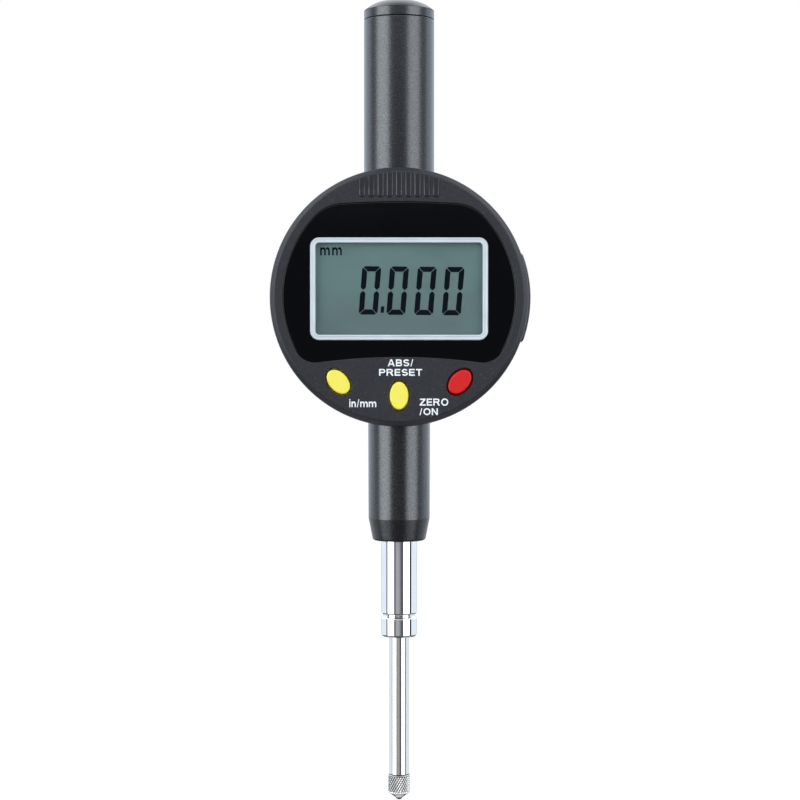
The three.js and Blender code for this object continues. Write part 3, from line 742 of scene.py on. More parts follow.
def case_shell():
    """The shell with its shield pocket, display opening and button holes."""
    outside = [(26.0, FACE_Y), (27.1, FACE_Y), (28.08, FACE_Y + 1.1), (CASE_R, FACE_Y + 7.5)]
    outside += [(CASE_R, BACK_Y), (COVER_R + 0.06, BACK_Y)]
    outside = fillet(outside, {1: 0.45, 2: 0.6, 3: 6, 4: 0.6}, 6)
    inside = [(COVER_R + 0.06, LEDGE_Y), (26, LEDGE_Y), (26, FACE_INNER_Y)]
    build = Build()
    loops = [build.loop(ring_of(r, h, CASE_STEPS, "y")) for r, h in [*outside[1:], *inside]]
    build.chain(loops)
    pocket = [(-i, FACE_Y + d) for i, d in rounding(0.14, 3)] + [(0, POCKET_Y)]
    lens = [build.loop(facing(inset(lens_outline(0.1), i), y)) for i, y in pocket]
    build.chain(lens)
    opening = [build.loop(facing(bezel_outline(0.07), y)) for y in (POCKET_Y, FACE_INNER_Y)]
    build.chain(opening)
    build.fill(lens[-1], opening[0])
    holes = []
    for spot in BUTTONS.values():
        steps = [(-i, FACE_Y + d) for i, d in rounding(0.06, 3)] + [(0, FACE_INNER_Y)]
        hole = [build.loop(facing(inset(button_outline(spot, KEY_GAP), i), y)) for i, y in steps]
        build.chain(hole)
        holes.append(hole)
    build.fill(loops[0], lens[0], *[hole[0] for hole in holes])
    build.fill(loops[-1], opening[1], *[hole[-1] for hole in holes])
    return build.object("case_shell")


def add_pill(build, x, low, high, half):
    """A raised pill with a sloping shoulder all round, which catches the light as a thin line."""
    outline = arc(x, high, half, 0, 180, 12) + arc(x, low, half, 180, 360, 12)
    shoulder = [(0.27, 0), (0.2, 0.02), (0.05, 0.11), (0, 0.17)]
    steps = [(i, RIB_FRONT + d) for i, d in shoulder] + [(0, FACE_Y + 0.4)]
    build.skin([build.loop(facing(inset(outline, i), y)) for i, y in steps])


def grip_ribs():
    build = Build()
    for i in range(RIB_COUNT):
        x = (i - (RIB_COUNT - 1) / 2) * RIB_PITCH
        add_pill(build, x, RIB_LOW + RIB_HALF, CASE_R, RIB_HALF)
    disc = Build()
    rod(disc, 0, 0, RIB_END_R, FACE_Y - 2, FACE_Y + 2, CASE_STEPS)
    return shape(build.object("ribs"), disc.object("disc"), "INTERSECT")


def rod(build, x, z, r, front, back, steps=32):
    """Adds a round bar along Y."""
    build.skin([build.loop(facing(circle(x, z, r, steps), y)) for y in (front, back)])


def column(build, r, low, high, steps=96):
    """Adds a round bar along the spindle's axis."""
    build.skin([build.loop(ring_of(r, z, steps, "z")) for z in (low, high)])


def sector(build, inner, outer, half_angle, front, back):
    """Adds a piece of a ring round the case's axis, on its right side."""
    outline = arc(0, 0, outer, -half_angle, half_angle, 40) + arc(0, 0, inner, half_angle, -half_angle, 40)
    build.skin([build.loop(facing(outline, y)) for y in (front, back)])


def screw_spots(prefix, count):
    spots = []
    for i in range(1, count + 1):
        low, high = mm_box(f"{prefix}_{i}")
        spots.append(((low.x + high.x) / 2, (low.z + high.z) / 2 - CASE_Z))
    return spots


COVER_SCREWS = screw_spots("rear_cover_screw", 4)
FRAME_SCREWS = screw_spots("frame_screw", 2)
BOARD_SCREWS = screw_spots("board_screw", 4)
DOOR_HALF_ANGLE, DOOR_HALF_Y = 20, 6.5
TRAY_LEFT, TRAY_FRONT, TRAY_BACK, TRAY_HALF_H = 12.5, 0.6, 5.8, 7.2
BOSS_FRONT_Y = FACE_INNER_Y - 0.4
BOARD_Y = -7.73


def case():
    """The front shell with its ribs and screw bosses, open for the tubes, the screws and the drawer."""
    shell = case_shell()
    shape(shell, grip_ribs(), "UNION")
    bosses = Build()
    for x, z in COVER_SCREWS:
        rod(bosses, x, z, 2.2, BOSS_FRONT_Y, COVER_FRONT_Y - 0.05)
    for x, z in BOARD_SCREWS:
        rod(bosses, x, z, 1.6, BOSS_FRONT_Y, BOARD_Y)
    shape(shell, bosses.object("bosses"), "UNION")
    cuts = Build()
    column(cuts, TUBE_R + 0.1, CASE_Z + 15, CASE_Z + CASE_R + 2)
    column(cuts, SLEEVE_R + 0.1, CASE_Z - CASE_R - 2, CASE_Z - 15)
    sector(cuts, 27.2, CASE_R + 2, DOOR_HALF_ANGLE + 0.3, -DOOR_HALF_Y - 0.2, DOOR_HALF_Y + 0.2)
    for x, z in COVER_SCREWS:
        rod(cuts, x, z, 0.9, -2, BACK_Y)
    for x, z in BOARD_SCREWS:
        rod(cuts, x, z, 0.7, FACE_INNER_Y + 0.4, -1)
    shape(shell, cuts.object("cuts"))
    half_h, front, back = TRAY_HALF_H + 0.3, TRAY_FRONT - 1.2, TRAY_BACK + 0.4
    carve(shell, "opening", bar, (18, front, CASE_Z - half_h), (CASE_R, back, CASE_Z + half_h))
    shell.name = "front_case"
    place(shell, "housing", "case_plastic", "front_housing")


def rear_cover():
    """A turned disc with a recessed middle field and countersunk screws."""
    field_r, field_y = 20.4, BACK_Y - 0.25
    profile = [(0, COVER_FRONT_Y), (COVER_R, COVER_FRONT_Y), (COVER_R, BACK_Y), (field_r + 0.2, BACK_Y)]
    profile += [(field_r, field_y), (0, field_y)]
    cover = turned("rear_disc", fillet(profile, {2: 0.35, 3: 0.1, 4: 0.1}, 4), steps=192, axis="y")
    cuts = Build()
    for x, z in COVER_SCREWS + FRAME_SCREWS:
        rod(cuts, x, z, 2.05, BACK_Y - 0.95, BACK_Y + 1, 48)
    shape(cover, cuts.object("recesses"))
    holes = Build()
    for x, z in COVER_SCREWS + FRAME_SCREWS:
        rod(holes, x, z, 1.05, COVER_FRONT_Y - 1, BACK_Y)
    shape(cover, holes.object("holes"))
    place(cover, "housing", "rear_cover", "rear_cover")


def cross_screw(name, node, x, z, top, head_r, head_depth, shank_r, length):
    """A pan-head screw along Y with a cross recess."""
    build = Build()
    under = top - head_depth
    end = under - length
    profile = [(0, end), (shank_r * 0.7, end), (shank_r, end + 0.4), (shank_r, under), (head_r, under)]
    profile += [(head_r, top), (0, top)]
    turned_skin(build, fillet(profile, {5: head_depth * 0.6}, 5), 48, "y")
    bmesh.ops.translate(build.bm, vec=Vector((x, 0, z)), verts=build.bm.verts)
    screw = build.object(name)
    arm, half, deep = head_r * 0.62, head_r * 0.13, 0.45
    centre = CASE_Z + z
    for dx, dz in ((arm, half), (half, arm)):
        carve(screw, "slot", bar, (x - dx, top - deep, centre - dz), (x + dx, top + 1, centre + dz))
    place(screw, "housing", "screw_steel", node)


def screws():
    top, head_r, head_depth = BACK_Y - 0.05, 1.9, 0.85
    for i, (x, z) in enumerate(COVER_SCREWS, 1):
        cross_screw(f"cover_screw_{i}", f"rear_cover_screw_{i}", x, z, top, head_r, head_depth, 0.85, 6)
    for i, (x, z) in enumerate(FRAME_SCREWS, 1):
        cross_screw(f"frame_bolt_{i}", f"frame_screw_{i}", x, z, top, head_r, head_depth, 0.8, 4)


# ---------------------------------------------------------------- display
def display():
    lens = slab("shield", lens_outline(), FACE_Y, LENS_HIGH.y, 0.12, 0.05, [(bezel_outline(0.06), 0.05)])
    place(lens, "housing", "gloss_black", "display_overlay")
    place(bezel(), "housing", "bezel_white", "lcd_bezel")
    window = slab("window_pane", bezel_outline(-BEZEL_RIM - 0.06), WINDOW_LOW.y, WINDOW_HIGH.y, 0.08, 0.05)
    place(window, "housing", "clear_window", "display_window")
    panel = slab("lcd_cell", bezel_outline(-0.3), LCD_LOW.y, LCD_HIGH.y, 0.06, 0.05)
    place(panel, "housing", "lcd_glass", "lcd_panel")


def bezel():
    """The display frame: a bead along its outer and its inner edge, with a shallow channel between."""
    front, back = BEZEL_LOW.y, BEZEL_HIGH.y
    bead, channel = 0.24, 0.09
    half = [(0, back)] + [(i, front + d) for i, d in reversed(rounding(bead, 4))]
    half += [(bead + 0.08, front + 0.02), (bead + 0.17, front + channel)]
    steps = half + [(BEZEL_RIM - i, y) for i, y in reversed(half)]
    build = Build()
    loops = [build.loop(facing(bezel_outline(-i), y)) for i, y in steps]
    build.chain([*loops, loops[0]])
    return build.object("display_frame", sharp=50)


DIGIT_W, DIGIT_H, DIGIT_PITCH = 4.1, 10.5, 6.02
DIGITS_X, FIRST_DIGIT_X, DOT_X = 2.3, -8.76, -4.0
BAR = 1.13
SLANT = tan(radians(4.2))
LCD_TILT = radians(-0.5)


def bar_outlines():
    """The six outer bars of a seven-bar digit, mitred where they meet, about the digit's low left corner."""
    w, h, t = DIGIT_W, DIGIT_H, BAR
    corner, start, gap = 0.6, 0.22, 0.09
    tip, point = h / 2 - 0.14, 0.5
    low = [(corner, 0), (w - corner, 0), (w - start - gap, start)]
    low += [(w - t - gap, t), (t + gap, t), (start + gap, start)]
    left_low = [(0, corner), (start, start + gap), (t, t + gap), (t, tip - point)]
    left_low += [(t * 0.62, tip - 0.06), (t * 0.5, tip), (t * 0.38, tip - 0.06), (0, tip - point)]
    high = [(x, h - y) for x, y in reversed(low)]
    left_high = [(x, h - y) for x, y in reversed(left_low)]
    right_low = [(w - x, y) for x, y in reversed(left_low)]
    right_high = [(w - x, y) for x, y in reversed(left_high)]
    return [low, high, left_low, left_high, right_low, right_high]


def add_flat(build, outlines, front, back):
    """A thin flat piece from its outline and the outlines of its holes."""
    layers = [[build.loop(facing(points, y)) for y in (front, back)] for points in outlines]
    for layer in layers:
        build.chain(layer)
    for side in (0, 1):
        build.fill(*[layer[side] for layer in layers])


def digits():
    """The reading 0.000, a hair above the display glass."""
    front, back = LCD_LOW.y - 0.03, LCD_LOW.y - 0.004
    low_z = -DIGIT_H / 2
    spin = Matrix.Rotation(LCD_TILT, 2)
    middle = Vector((DIGITS_X, SCREEN_Z - 0.4))
    shapes = []
    for k in range(4):
        left = FIRST_DIGIT_X - middle.x + k * DIGIT_PITCH
        shapes += [[(left + x + y * SLANT, low_z + y) for x, y in outline] for outline in bar_outlines()]
    dot_x, dot_z = DOT_X - middle.x, low_z + 0.42
    dot = [(0, 0), (0.72, 0), (0.82, 1.4), (0.1, 1.4)]
    shapes.append([(dot_x + x, dot_z + z) for x, z in dot])
    build = Build()
    for outline in shapes:
        add_flat(build, [[spin @ Vector(p) + middle for p in outline]], front, back)
    place(build.object("lcd_digits", smooth=False), "housing", "gloss_black", finish=SEGMENT)


STROKE = 0.195
X_HEIGHT = 0.73


def oval(x, y, rx, ry, start, end, steps=12):
    return [Vector((x + rx * p.x, y + ry * p.y)) for p in arc(0, 0, 1, start, end, steps)]


def corners(*points):
    return [Vector(p) for p in points]


def box_shape(x0, y0, x1, y1):
    return corners((x0, y0), (x1, y0), (x1, y1), (x0, y1))


def ribbon(points, width=STROKE):
    """A bent line of even width as a closed outline."""
    left, right = [], []
    for i, p in enumerate(points):
        along = (points[min(i + 1, len(points) - 1)] - points[max(i - 1, 0)]).normalized()
        side = Vector((-along.y, along.x)) * width / 2
        left.append(p - side)
        right.append(p + side)
    return left + right[::-1]


def letter_a(t=STROKE):
    outer = corners((0, 0), (0.21, 0), (0.28, 0.21), (0.72, 0.21), (0.79, 0), (1, 0), (0.61, 1), (0.39, 1))
    return 1.0, [[outer, corners((0.34, 0.21 + t * 0.95), (0.66, 0.21 + t * 0.95), (0.5, 0.8))]]


def letter_b(t=STROKE):
    r, low_x, high_x = 0.29, 0.86 - 0.29, 0.82 - 0.29
    outer = corners((0, 0)) + arc(low_x, r, r, -90, 44) + arc(high_x, 1 - r, r, -44, 90) + corners((0, 1))
    low = corners((t, t)) + arc(low_x, r, r - t, -90, 90) + corners((t, 2 * r - t))
    high = corners((t, 1 - 2 * r + t)) + arc(high_x, 1 - r, r - t, -90, 90) + corners((t, 1 - t))
    return 0.86, [[outer, low, high]]


def letter_e(t=STROKE):
    mid = (1 - t) / 2
    points = [(0, 0), (0.8, 0), (0.8, t), (t, t), (t, mid), (0.74, mid), (0.74, mid + t), (t, mid + t)]
    return 0.8, [[corners(*points, (t, 1 - t), (0.78, 1 - t), (0.78, 1), (0, 1))]]


def letter_n(t=STROKE):
    points = [(0, 0), (t, 0), (t, 0.69), (0.88 - t, 0), (0.88, 0), (0.88, 1), (0.88 - t, 1), (0.88 - t, 0.31)]
    return 0.88, [[corners(*points, (t, 1), (0, 1))]]


def letter_o(t=STROKE):
    rx, ry = 0.52, 0.515
    return 2 * rx, [[oval(rx, 0.5, rx - i, ry - i, 0, 360, 36)[:-1] for i in (0, t)]]


def letter_p(t=STROKE):
    low, width = 0.38, 0.86
    r = (1 - low) / 2
    bowl = arc(width - r, low + r, r, -90, 90)
    outer = corners((0, 0), (t, 0), (t, low)) + bowl + corners((0, 1))
    hole = corners((t, low + t)) + arc(width - r, low + r, r - t, -90, 90) + corners((t, 1 - t))
    return width, [[outer, hole]]


def letter_r(t=STROKE):
    low, width, bowl_x = 0.41, 0.96, 0.88
    r = (1 - low) / 2
    outer = corners((0, 0), (t, 0), (t, low), (0.46, low), (width - 0.23, 0), (width, 0))
    outer += arc(bowl_x - r, low + r, r, -58, 90) + corners((0, 1))
    hole = corners((t, low + t)) + arc(bowl_x - r, low + r, r - t, -90, 90) + corners((t, 1 - t))
    return width, [[outer, hole]]


def letter_s(t=STROKE):
    width, h = 0.86, (1 - t) / 2
    high = oval(width / 2, 0.5 + h / 2, (width - t) / 2 - 0.02, h / 2, 22, 270, 16)
    low = oval(width / 2, 0.5 - h / 2, (width - t) / 2, h / 2, 90, -158, 16)
    return width, [[ribbon(high[:-1] + low)]]


def letter_t(t=STROKE):
    w = 0.84
    a, b = (w - t) / 2, (w + t) / 2
    return w, [[corners((a, 0), (b, 0), (b, 1 - t), (w, 1 - t), (w, 1), (0, 1), (0, 1 - t), (a, 1 - t))]]


def letter_z(t=STROKE):
    points = [(0, 0), (0.84, 0), (0.84, t), (0.28, t), (0.82, 1 - t), (0.82, 1), (0.04, 1), (0.04, 1 - t)]
    return 0.84, [[corners(*points, (0.54, 1 - t), (0, t))]]


def slash():
    return 0.4, [[corners((0, -0.02), (0.13, -0.02), (0.4, 1.02), (0.27, 1.02))]]


def small_i(t=STROKE):
    return t, [[box_shape(0, 0, t, X_HEIGHT)], [box_shape(0, 0.86, t, 1.02)]]


def arches(count, t=STROKE, span=0.5):
    """Small n with one arch and small m with two."""
    spring = 0.42
    outer = corners((0, 0), (t, 0))
    back = []  # the tops of the arches, from right to left
    for k in range(count):
        left, right = t + k * span, k * span + span
        mid, half = (left + right) / 2, (right - left) / 2
        outer += oval(mid, spring, half, X_HEIGHT - t - spring + 0.01, 180, 0, 8)
        outer += corners((right, 0), (right + t, 0))
        back = oval(mid + t * 0.3, spring, half + t * 0.7, X_HEIGHT - spring + 0.01, 6, 128, 9) + back
    outer += corners((count * span + t, spring)) + back
    return count * span + t, [[outer + corners((t, 0.66), (t, 0.72), (0, 0.72))]]


LETTERS = {
    "A": letter_a, "B": letter_b, "E": letter_e, "N": letter_n, "O": letter_o, "P": letter_p, "R": letter_r,
    "S": letter_s, "T": letter_t, "Z": letter_z, "/": slash, "i": small_i,
    "n": lambda: arches(1), "m": lambda: arches(2),
}


def lettering(name, text, low, high, front, thick=0.02, gap=0.15):
    """Sans-serif letters as a thin printed layer, fitted between two corners."""
    glyphs = [LETTERS[character]() for character in text]
    total = sum(width for width, _ in glyphs) + gap * (len(glyphs) - 1)
    tallest = 1.0 if any(c not in "nm" for c in text) else X_HEIGHT
    sx, sz = (high[0] - low[0]) / total, (high[1] - low[1]) / tallest
    build = Build()
    at = 0.0
    for width, shapes in glyphs:
        for outlines in shapes:
            moved = [[Vector((low[0] + (at + p.x) * sx, low[1] + p.y * sz)) for p in one] for one in outlines]
            add_flat(build, moved, front, front + thick)
        at += width + gap
    return build.object(name, smooth=False)


LABELS = {
    "label_abs": ("ABS/", (-2.47, -15.08), (3.07, -13.56)),
    "label_preset": ("PRESET", (-4.33, -17.13), (4.99, -15.64)),
    "label_in_mm": ("in/mm", (-10.79, -23.92), (-4.94, -22.24)),
    "label_zero": ("ZERO", (4.47, -23.6), (10.67, -22.06)),
    "label_on": ("/ON", (4.43, -25.64), (8.4, -24.16)),
}


def labels():
    for name, (text, low, high) in LABELS.items():
        place(lettering(name, text, low, high, FACE_Y - 0.012), "housing", "bezel_white", finish=PRINT)
    low, high = (-17.1, SCREEN_Z + 7.28), (-12.43, SCREEN_Z + 9.02)
    unit = lettering("lcd_unit", "mm", low, high, LCD_LOW.y - 0.027, gap=0.3)
    place(unit, "housing", "gloss_black", finish=SEGMENT)


# ---------------------------------------------------------------- buttons
def button(name, spot):
    """A flat-topped oval key with a flange behind the case's face."""
    low, high = mm_box("button_" + name)
    colour = "button_red" if name == "zero_on" else "button_yellow"
    build = Build()
    front, flange_front, flange = low.y, high.y - 1.4, 0.75
    steps = [(-i, front + d) for i, d in rounding(0.32, 5)] + [(0, flange_front - 0.1), (0, flange_front)]
    steps += [(flange - 0.05, flange_front), (flange, flange_front + 0.05), (flange, high.y)]
    loops = [build.loop(facing(button_outline(spot, i), y)) for i, y in steps]
    crown = [build.loop(facing(button_outline(spot, i), front)) for i in (-1.0, -0.55)]
    build.skin([*crown, *loops])
    place(build.object("key_" + name), "button_" + name, colour, "button_" + name)


# ---------------------------------------------------------------- battery drawer
DOOR_INNER, DOOR_OUTER = 27.4, DOOR_HIGH.x
CELL_X = (CELL_LOW.x + CELL_HIGH.x) / 2
CELL_R = (CELL_HIGH.z - CELL_LOW.z) / 2


def door_skin():
    """A plate curved round the case's axis, thinner towards its upper end."""
    build = Build()
    spans = 64
    rows = []
    section = [(DOOR_INNER, -DOOR_HALF_Y), (DOOR_OUTER, -DOOR_HALF_Y)]
    section = fillet([*section, (DOOR_OUTER, DOOR_HALF_Y), (DOOR_INNER, DOOR_HALF_Y)], {1: 0.5, 2: 0.5}, 4)
    for k in range(spans + 1):
        a = radians(-DOOR_HALF_ANGLE + 2 * DOOR_HALF_ANGLE * k / spans)
        end = min(k, spans - k)
        fall = 0.25 if end == 0 else 0.08 if end == 1 else 0.0
        fall += 0.14 * max(0.0, 2 * k / spans - 1) ** 2
        ring = []
        for r, y in section:
            radius = r - fall if r > DOOR_INNER + 0.1 else r
            ring.append(Vector((radius * cos(a), y, radius * sin(a) + CASE_Z)))
        rows.append(build.loop(ring))
    build.skin(rows)
    return build.object("drawer_door")


def finger_grooves():
    """Round bars that cut seven grooves along Y in the door."""
    build = Build()
    for k in range(-3, 4):
        a = radians(k * 2.6)
        x, z = (DOOR_OUTER + 0.12) * cos(a), (DOOR_OUTER + 0.12) * sin(a)
        groove = circle(0, 0, 0.34, 12)
        loops = []
        for y in (-DOOR_HALF_Y + 2.2, DOOR_HALF_Y - 2.2):
            loops.append(build.loop([Vector((x + p.x, y, z + p.y + CASE_Z)) for p in groove]))
        build.skin(loops)
    return build.object("grooves")


def drawer():
    """The door with its grooves, and the tray that carries the cell."""
    door = door_skin()
    shape(door, finger_grooves())
    low = (TRAY_LEFT, TRAY_FRONT, CASE_Z - TRAY_HALF_H)
    carve(door, "tray", bar, low, (DOOR_INNER + 0.2, TRAY_BACK, CASE_Z + TRAY_HALF_H), operation="UNION")
    carve(door, "pocket", rod, CELL_X, 0, CELL_R + 0.15, -1, CELL_HIGH.y + 0.06, 72)
    carve(door, "window", rod, CELL_X, 0, 3.6, -1, 7, 48)
    place(door, "drawer", "case_plastic", "battery_drawer")


def coin_cell():
    low, high = CELL_LOW.y, CELL_HIGH.y
    lid_r = CELL_R - 0.9
    profile = [(0, low), (CELL_R, low), (CELL_R, high - 0.9), (CELL_R - 0.5, high - 0.5), (lid_r, high - 0.5)]
    build = Build()
    turned_skin(build, fillet([*profile, (lid_r, high), (0, high)], {1: 0.3, 2: 0.3, 5: 0.2}, 4), 72, "y")
    bmesh.ops.translate(build.bm, vec=Vector((CELL_X, 0, 0)), verts=build.bm.verts)
    place(build.object("button_cell"), "drawer", "cell_steel", "coin_cell")


# ---------------------------------------------------------------- tubes, stem and spindle
CROWN_STEPS = 16


def tubes():
    """The upper tube with its spigot, and the domed cap with a thin line round its rim."""
    bore, spigot, plug = 6.6, 7.2, 6.3
    step = TUBE_LOW.z + 2.7
    profile = [(bore, TUBE_LOW.z), (spigot, TUBE_LOW.z), (spigot, step), (TUBE_R, step)]
    profile += [(TUBE_R, TUBE_HIGH.z), (bore, TUBE_HIGH.z)]
    tube = turned("tube", fillet(profile, {4: 0.2}, 4), closed=True, steps=144)
    place(tube, "housing", "anodised_black", "upper_tube")
    rim_low = CAP_LOW.z + 5
    rim_high = rim_low + 2
    dome = CAP_HIGH.z - rim_high
    shares = [1 - k / CROWN_STEPS for k in range(CROWN_STEPS + 1)]
    crown = [(share * (TUBE_R - 0.02), rim_high + dome * (1 - share**3)) for share in shares]
    line, line_r = rim_high - 0.15, TUBE_R - 0.14
    profile = [(0, CAP_LOW.z), (plug, CAP_LOW.z), (plug, rim_low), (TUBE_R, rim_low), (TUBE_R, line)]
    profile += [(line_r, line + 0.03), (line_r, rim_high - 0.02), *crown]
    profile = fillet(profile, {1: 0.4, 3: 0.15}, 4)
    place(turned("cap", profile, steps=144), "cap", "anodised_black", "tube_cap")


def sleeve():
    bore = STEM_R + 0.05
    cone = SLEEVE_LOW.z + 5
    profile = [(bore, SLEEVE_LOW.z), (5.87, SLEEVE_LOW.z), (SLEEVE_R - 0.1, cone), (SLEEVE_R, SLEEVE_HIGH.z)]
    profile = fillet([*profile, (bore, SLEEVE_HIGH.z)], {1: 0.55, 2: 1.0}, 6)
    place(turned("sleeve", profile, closed=True, steps=144), "housing", "anodised_black", "lower_sleeve")


def stem_parts():
    """The clamping stem, and the bush in its end with a groove between them."""
    bore = 2.95
    profile = [(bore, STEM_LOW.z), (STEM_R, STEM_LOW.z), (STEM_R, STEM_HIGH.z), (bore, STEM_HIGH.z)]
    part = turned("clamp_stem", fillet(profile, {1: 0.5}, 6), closed=True, steps=144)
    place(part, "housing", "plated_stem", "stem")
    groove_r, under = 3.52, STEM_LOW.z - 0.04
    low = BUSH_LOW.z
    guide_r, plug_r = SPINDLE_R + 0.07, bore - 0.05
    profile = [(guide_r, low), (STEM_R, low), (STEM_R, under - 0.78), (groove_r, under - 0.4)]
    profile += [(groove_r, under), (plug_r, under), (plug_r, BUSH_HIGH.z), (guide_r, BUSH_HIGH.z)]
    part = turned("end_bush", fillet(profile, {1: 0.6, 2: 0.2, 3: 0.05}, 6), closed=True, steps=144)
    place(part, "housing", "plated_stem", "stem_end_bush")


def spindle():
    """The ground shaft with a hole in each end."""
    low, high = SPINDLE_LOW.z, SPINDLE_HIGH.z
    low_hole_r, high_hole_r, deep = 1.3, 1.05, 6
    profile = [(0, low + deep), (low_hole_r, low + deep), (low_hole_r, low), (SPINDLE_R, low)]
    profile += [(SPINDLE_R, high), (high_hole_r, high), (high_hole_r, high - deep), (0, high - deep)]
    shaft = turned("plunger", fillet(profile, {3: 0.2, 4: 0.4}, 5), steps=128)
    place(shaft, "spindle", "ground_steel", "spindle")


KNURL_STARTS, KNURL_DEPTH = 26, 0.2
KNURL_LEAN = 0.62 / POINT_HIGH.x


def knurl(angle, z, low, high):
    """How far the diamond knurl is cut in at a place, in millimetres."""
    a = sin(KNURL_STARTS * (angle + z * KNURL_LEAN))
    b = sin(KNURL_STARTS * (angle - z * KNURL_LEAN))
    fade = min(1, max(0, (z - low) / 0.25), max(0, (high - z) / 0.25))
    return KNURL_DEPTH * fade * (0.5 - 0.17 * a - 0.33 * b)


def contact():
    """The contact point: a cone that holds the ball, a knurled grip and a plain stub."""
    top = SPINDLE_LOW.z - 0.05
    tip = BALL_LOW.z
    radius = POINT_HIGH.x
    cone = tip + 1.58
    knurl_low, knurl_high = cone + 0.2, top - 0.12
    build = Build()
    steps = 12 * KNURL_STARTS
    rows = [(0.0, tip + 0.9), (0.7, tip + 0.9), (0.97, tip + 0.64)]
    rows += [(radius - 0.3, cone - 0.02), (radius - 0.1, cone + 0.08), (radius - 0.02, cone + 0.16)]
    grid = 44
    rows += [(radius, knurl_low + (knurl_high - knurl_low) * k / grid) for k in range(grid + 1)]
    stub, stub_top = 1.2, top + 5
    rows += [(radius - 0.03, top - 0.07), (radius - 0.12, top), (stub, top), (stub, stub_top - 0.4)]
    rows += [(0.9, stub_top), (0, stub_top)]
    loops = []
    for r, z in rows[1:-1]:
        points = []
        for k in range(steps):
            a = 2 * pi * k / steps
            cut = knurl(a, z, knurl_low, knurl_high) if knurl_low <= z <= knurl_high else 0
            points.append(Vector(((r - cut) * cos(a), (r - cut) * sin(a), z)))
        loops.append(build.loop(points))
    build.chain(loops)
    build.fan(loops[0], build.bm.verts.new(Vector((0, 0, rows[0][1]))))
    build.fan(loops[-1], build.bm.verts.new(Vector((0, 0, rows[-1][1]))))
    place(build.object("point", sharp=40), "contact", "knurled_steel", "contact_point")
    r = BALL_HIGH.x
    profile = [(p.x, p.y) for p in arc(0, tip + r, r, -90, 90, 24)]
    profile[0], profile[-1] = (0, tip), (0, tip + 2 * r)
    place(turned("ball", profile, steps=64), "contact", "ball_steel", "contact_ball")


# ---------------------------------------------------------------- return spring
def return_spring():
    """A close-wound extension spring whose coils narrow towards each end."""
    low, high = mm_box("return_spring")
    x0 = (low.x + high.x) / 2
    coil_r, wire = 1.45, 0.2
    z0, z1 = low.z + 0.3, high.z - 0.3
    turns, steps = 16, 16 * 28
    centre, sides = [], 8
    for k in range(steps + 1):
        t = k / steps
        ease = min(1, min(t, 1 - t) / 0.06)
        r = coil_r * (0.2 + 0.8 * ease * ease * (3 - 2 * ease))
        a = 2 * pi * turns * t
        centre.append(Vector((x0 + r * cos(a), r * sin(a), z0 + (z1 - z0) * t)))
    build = Build()
    loops = []
    for k, p in enumerate(centre):
        ahead = centre[min(k + 1, steps)] - centre[max(k - 1, 0)]
        side = ahead.cross(Vector((0, 0, 1))).normalized()
        up = side.cross(ahead).normalized()
        angles = [2 * pi * s / sides for s in range(sides)]
        loops.append(build.loop([p + side * wire * cos(a) + up * wire * sin(a) for a in angles]))
    build.skin(loops)
    spring = build.object("pull_spring")
    spring.data.materials.append(MATERIALS["screw_steel"])
    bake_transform(spring)
    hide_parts("return_spring")


# ---------------------------------------------------------------- stage
# The light of the room. Bearings are in degrees from the camera's side, and heights from the horizon.
SWEEP, SWEEP_HIGH, SWEEP_TOP = (0.255, 0.278, 0.298), (0.42, 0.46, 0.52), (0.48, 0.495, 0.51)
SOFT_LEFT, SOFT_RIGHT = (0.98, 1.02, 1.04), (0.8, 0.82, 0.84)
GAP, GAP_HIGH = (0.012, 0.012, 0.015), (0.13, 0.134, 0.144)
DARK, BLACK = (0.034, 0.034, 0.04), (0.01, 0.01, 0.013)
GREY, DIM, PALE = (0.125, 0.12, 0.122), (0.08, 0.078, 0.084), (0.15, 0.155, 0.168)
TOP, ZENITH = (0.38, 0.39, 0.405), (0.07, 0.07, 0.075)
BELOW, UNDER = (0.028, 0.028, 0.03), (0.22, 0.222, 0.23)
ROOM_STRENGTH = 3.3


def sides(sweep, gap, left, right, *middle):
    """The stops of one height of the room: what is behind, a dark gap, and a soft box on each side."""
    back = tuple(0.5 * v for v in sweep)
    stops = [(-180, back), (-168, back), (-146, sweep), (-left - 2, sweep), (-left, gap), (-79, gap)]
    stops += [(-77, SOFT_LEFT), (-36, SOFT_LEFT), *middle, (31, SOFT_RIGHT), (69, SOFT_RIGHT)]
    return stops + [(72, gap), (right, gap), (right + 3, sweep), (146, sweep), (168, back), (180, back)]


CAMERA_SIDE = [(-33, DARK), (-25, DARK), (-20, GREY), (-3, GREY), (6, DIM), (14, DARK), (27, DARK)]
ROOM_LOW = sides(SWEEP, GAP, 89, 84, *CAMERA_SIDE)
ROOM_MIDDLE = sides(SWEEP_HIGH, GAP_HIGH, 104, 98, (-32, BLACK), (28, BLACK))
ROOM_HIGH = sides(SWEEP_HIGH, GAP_HIGH, 104, 98, (-31, PALE), (28, PALE))


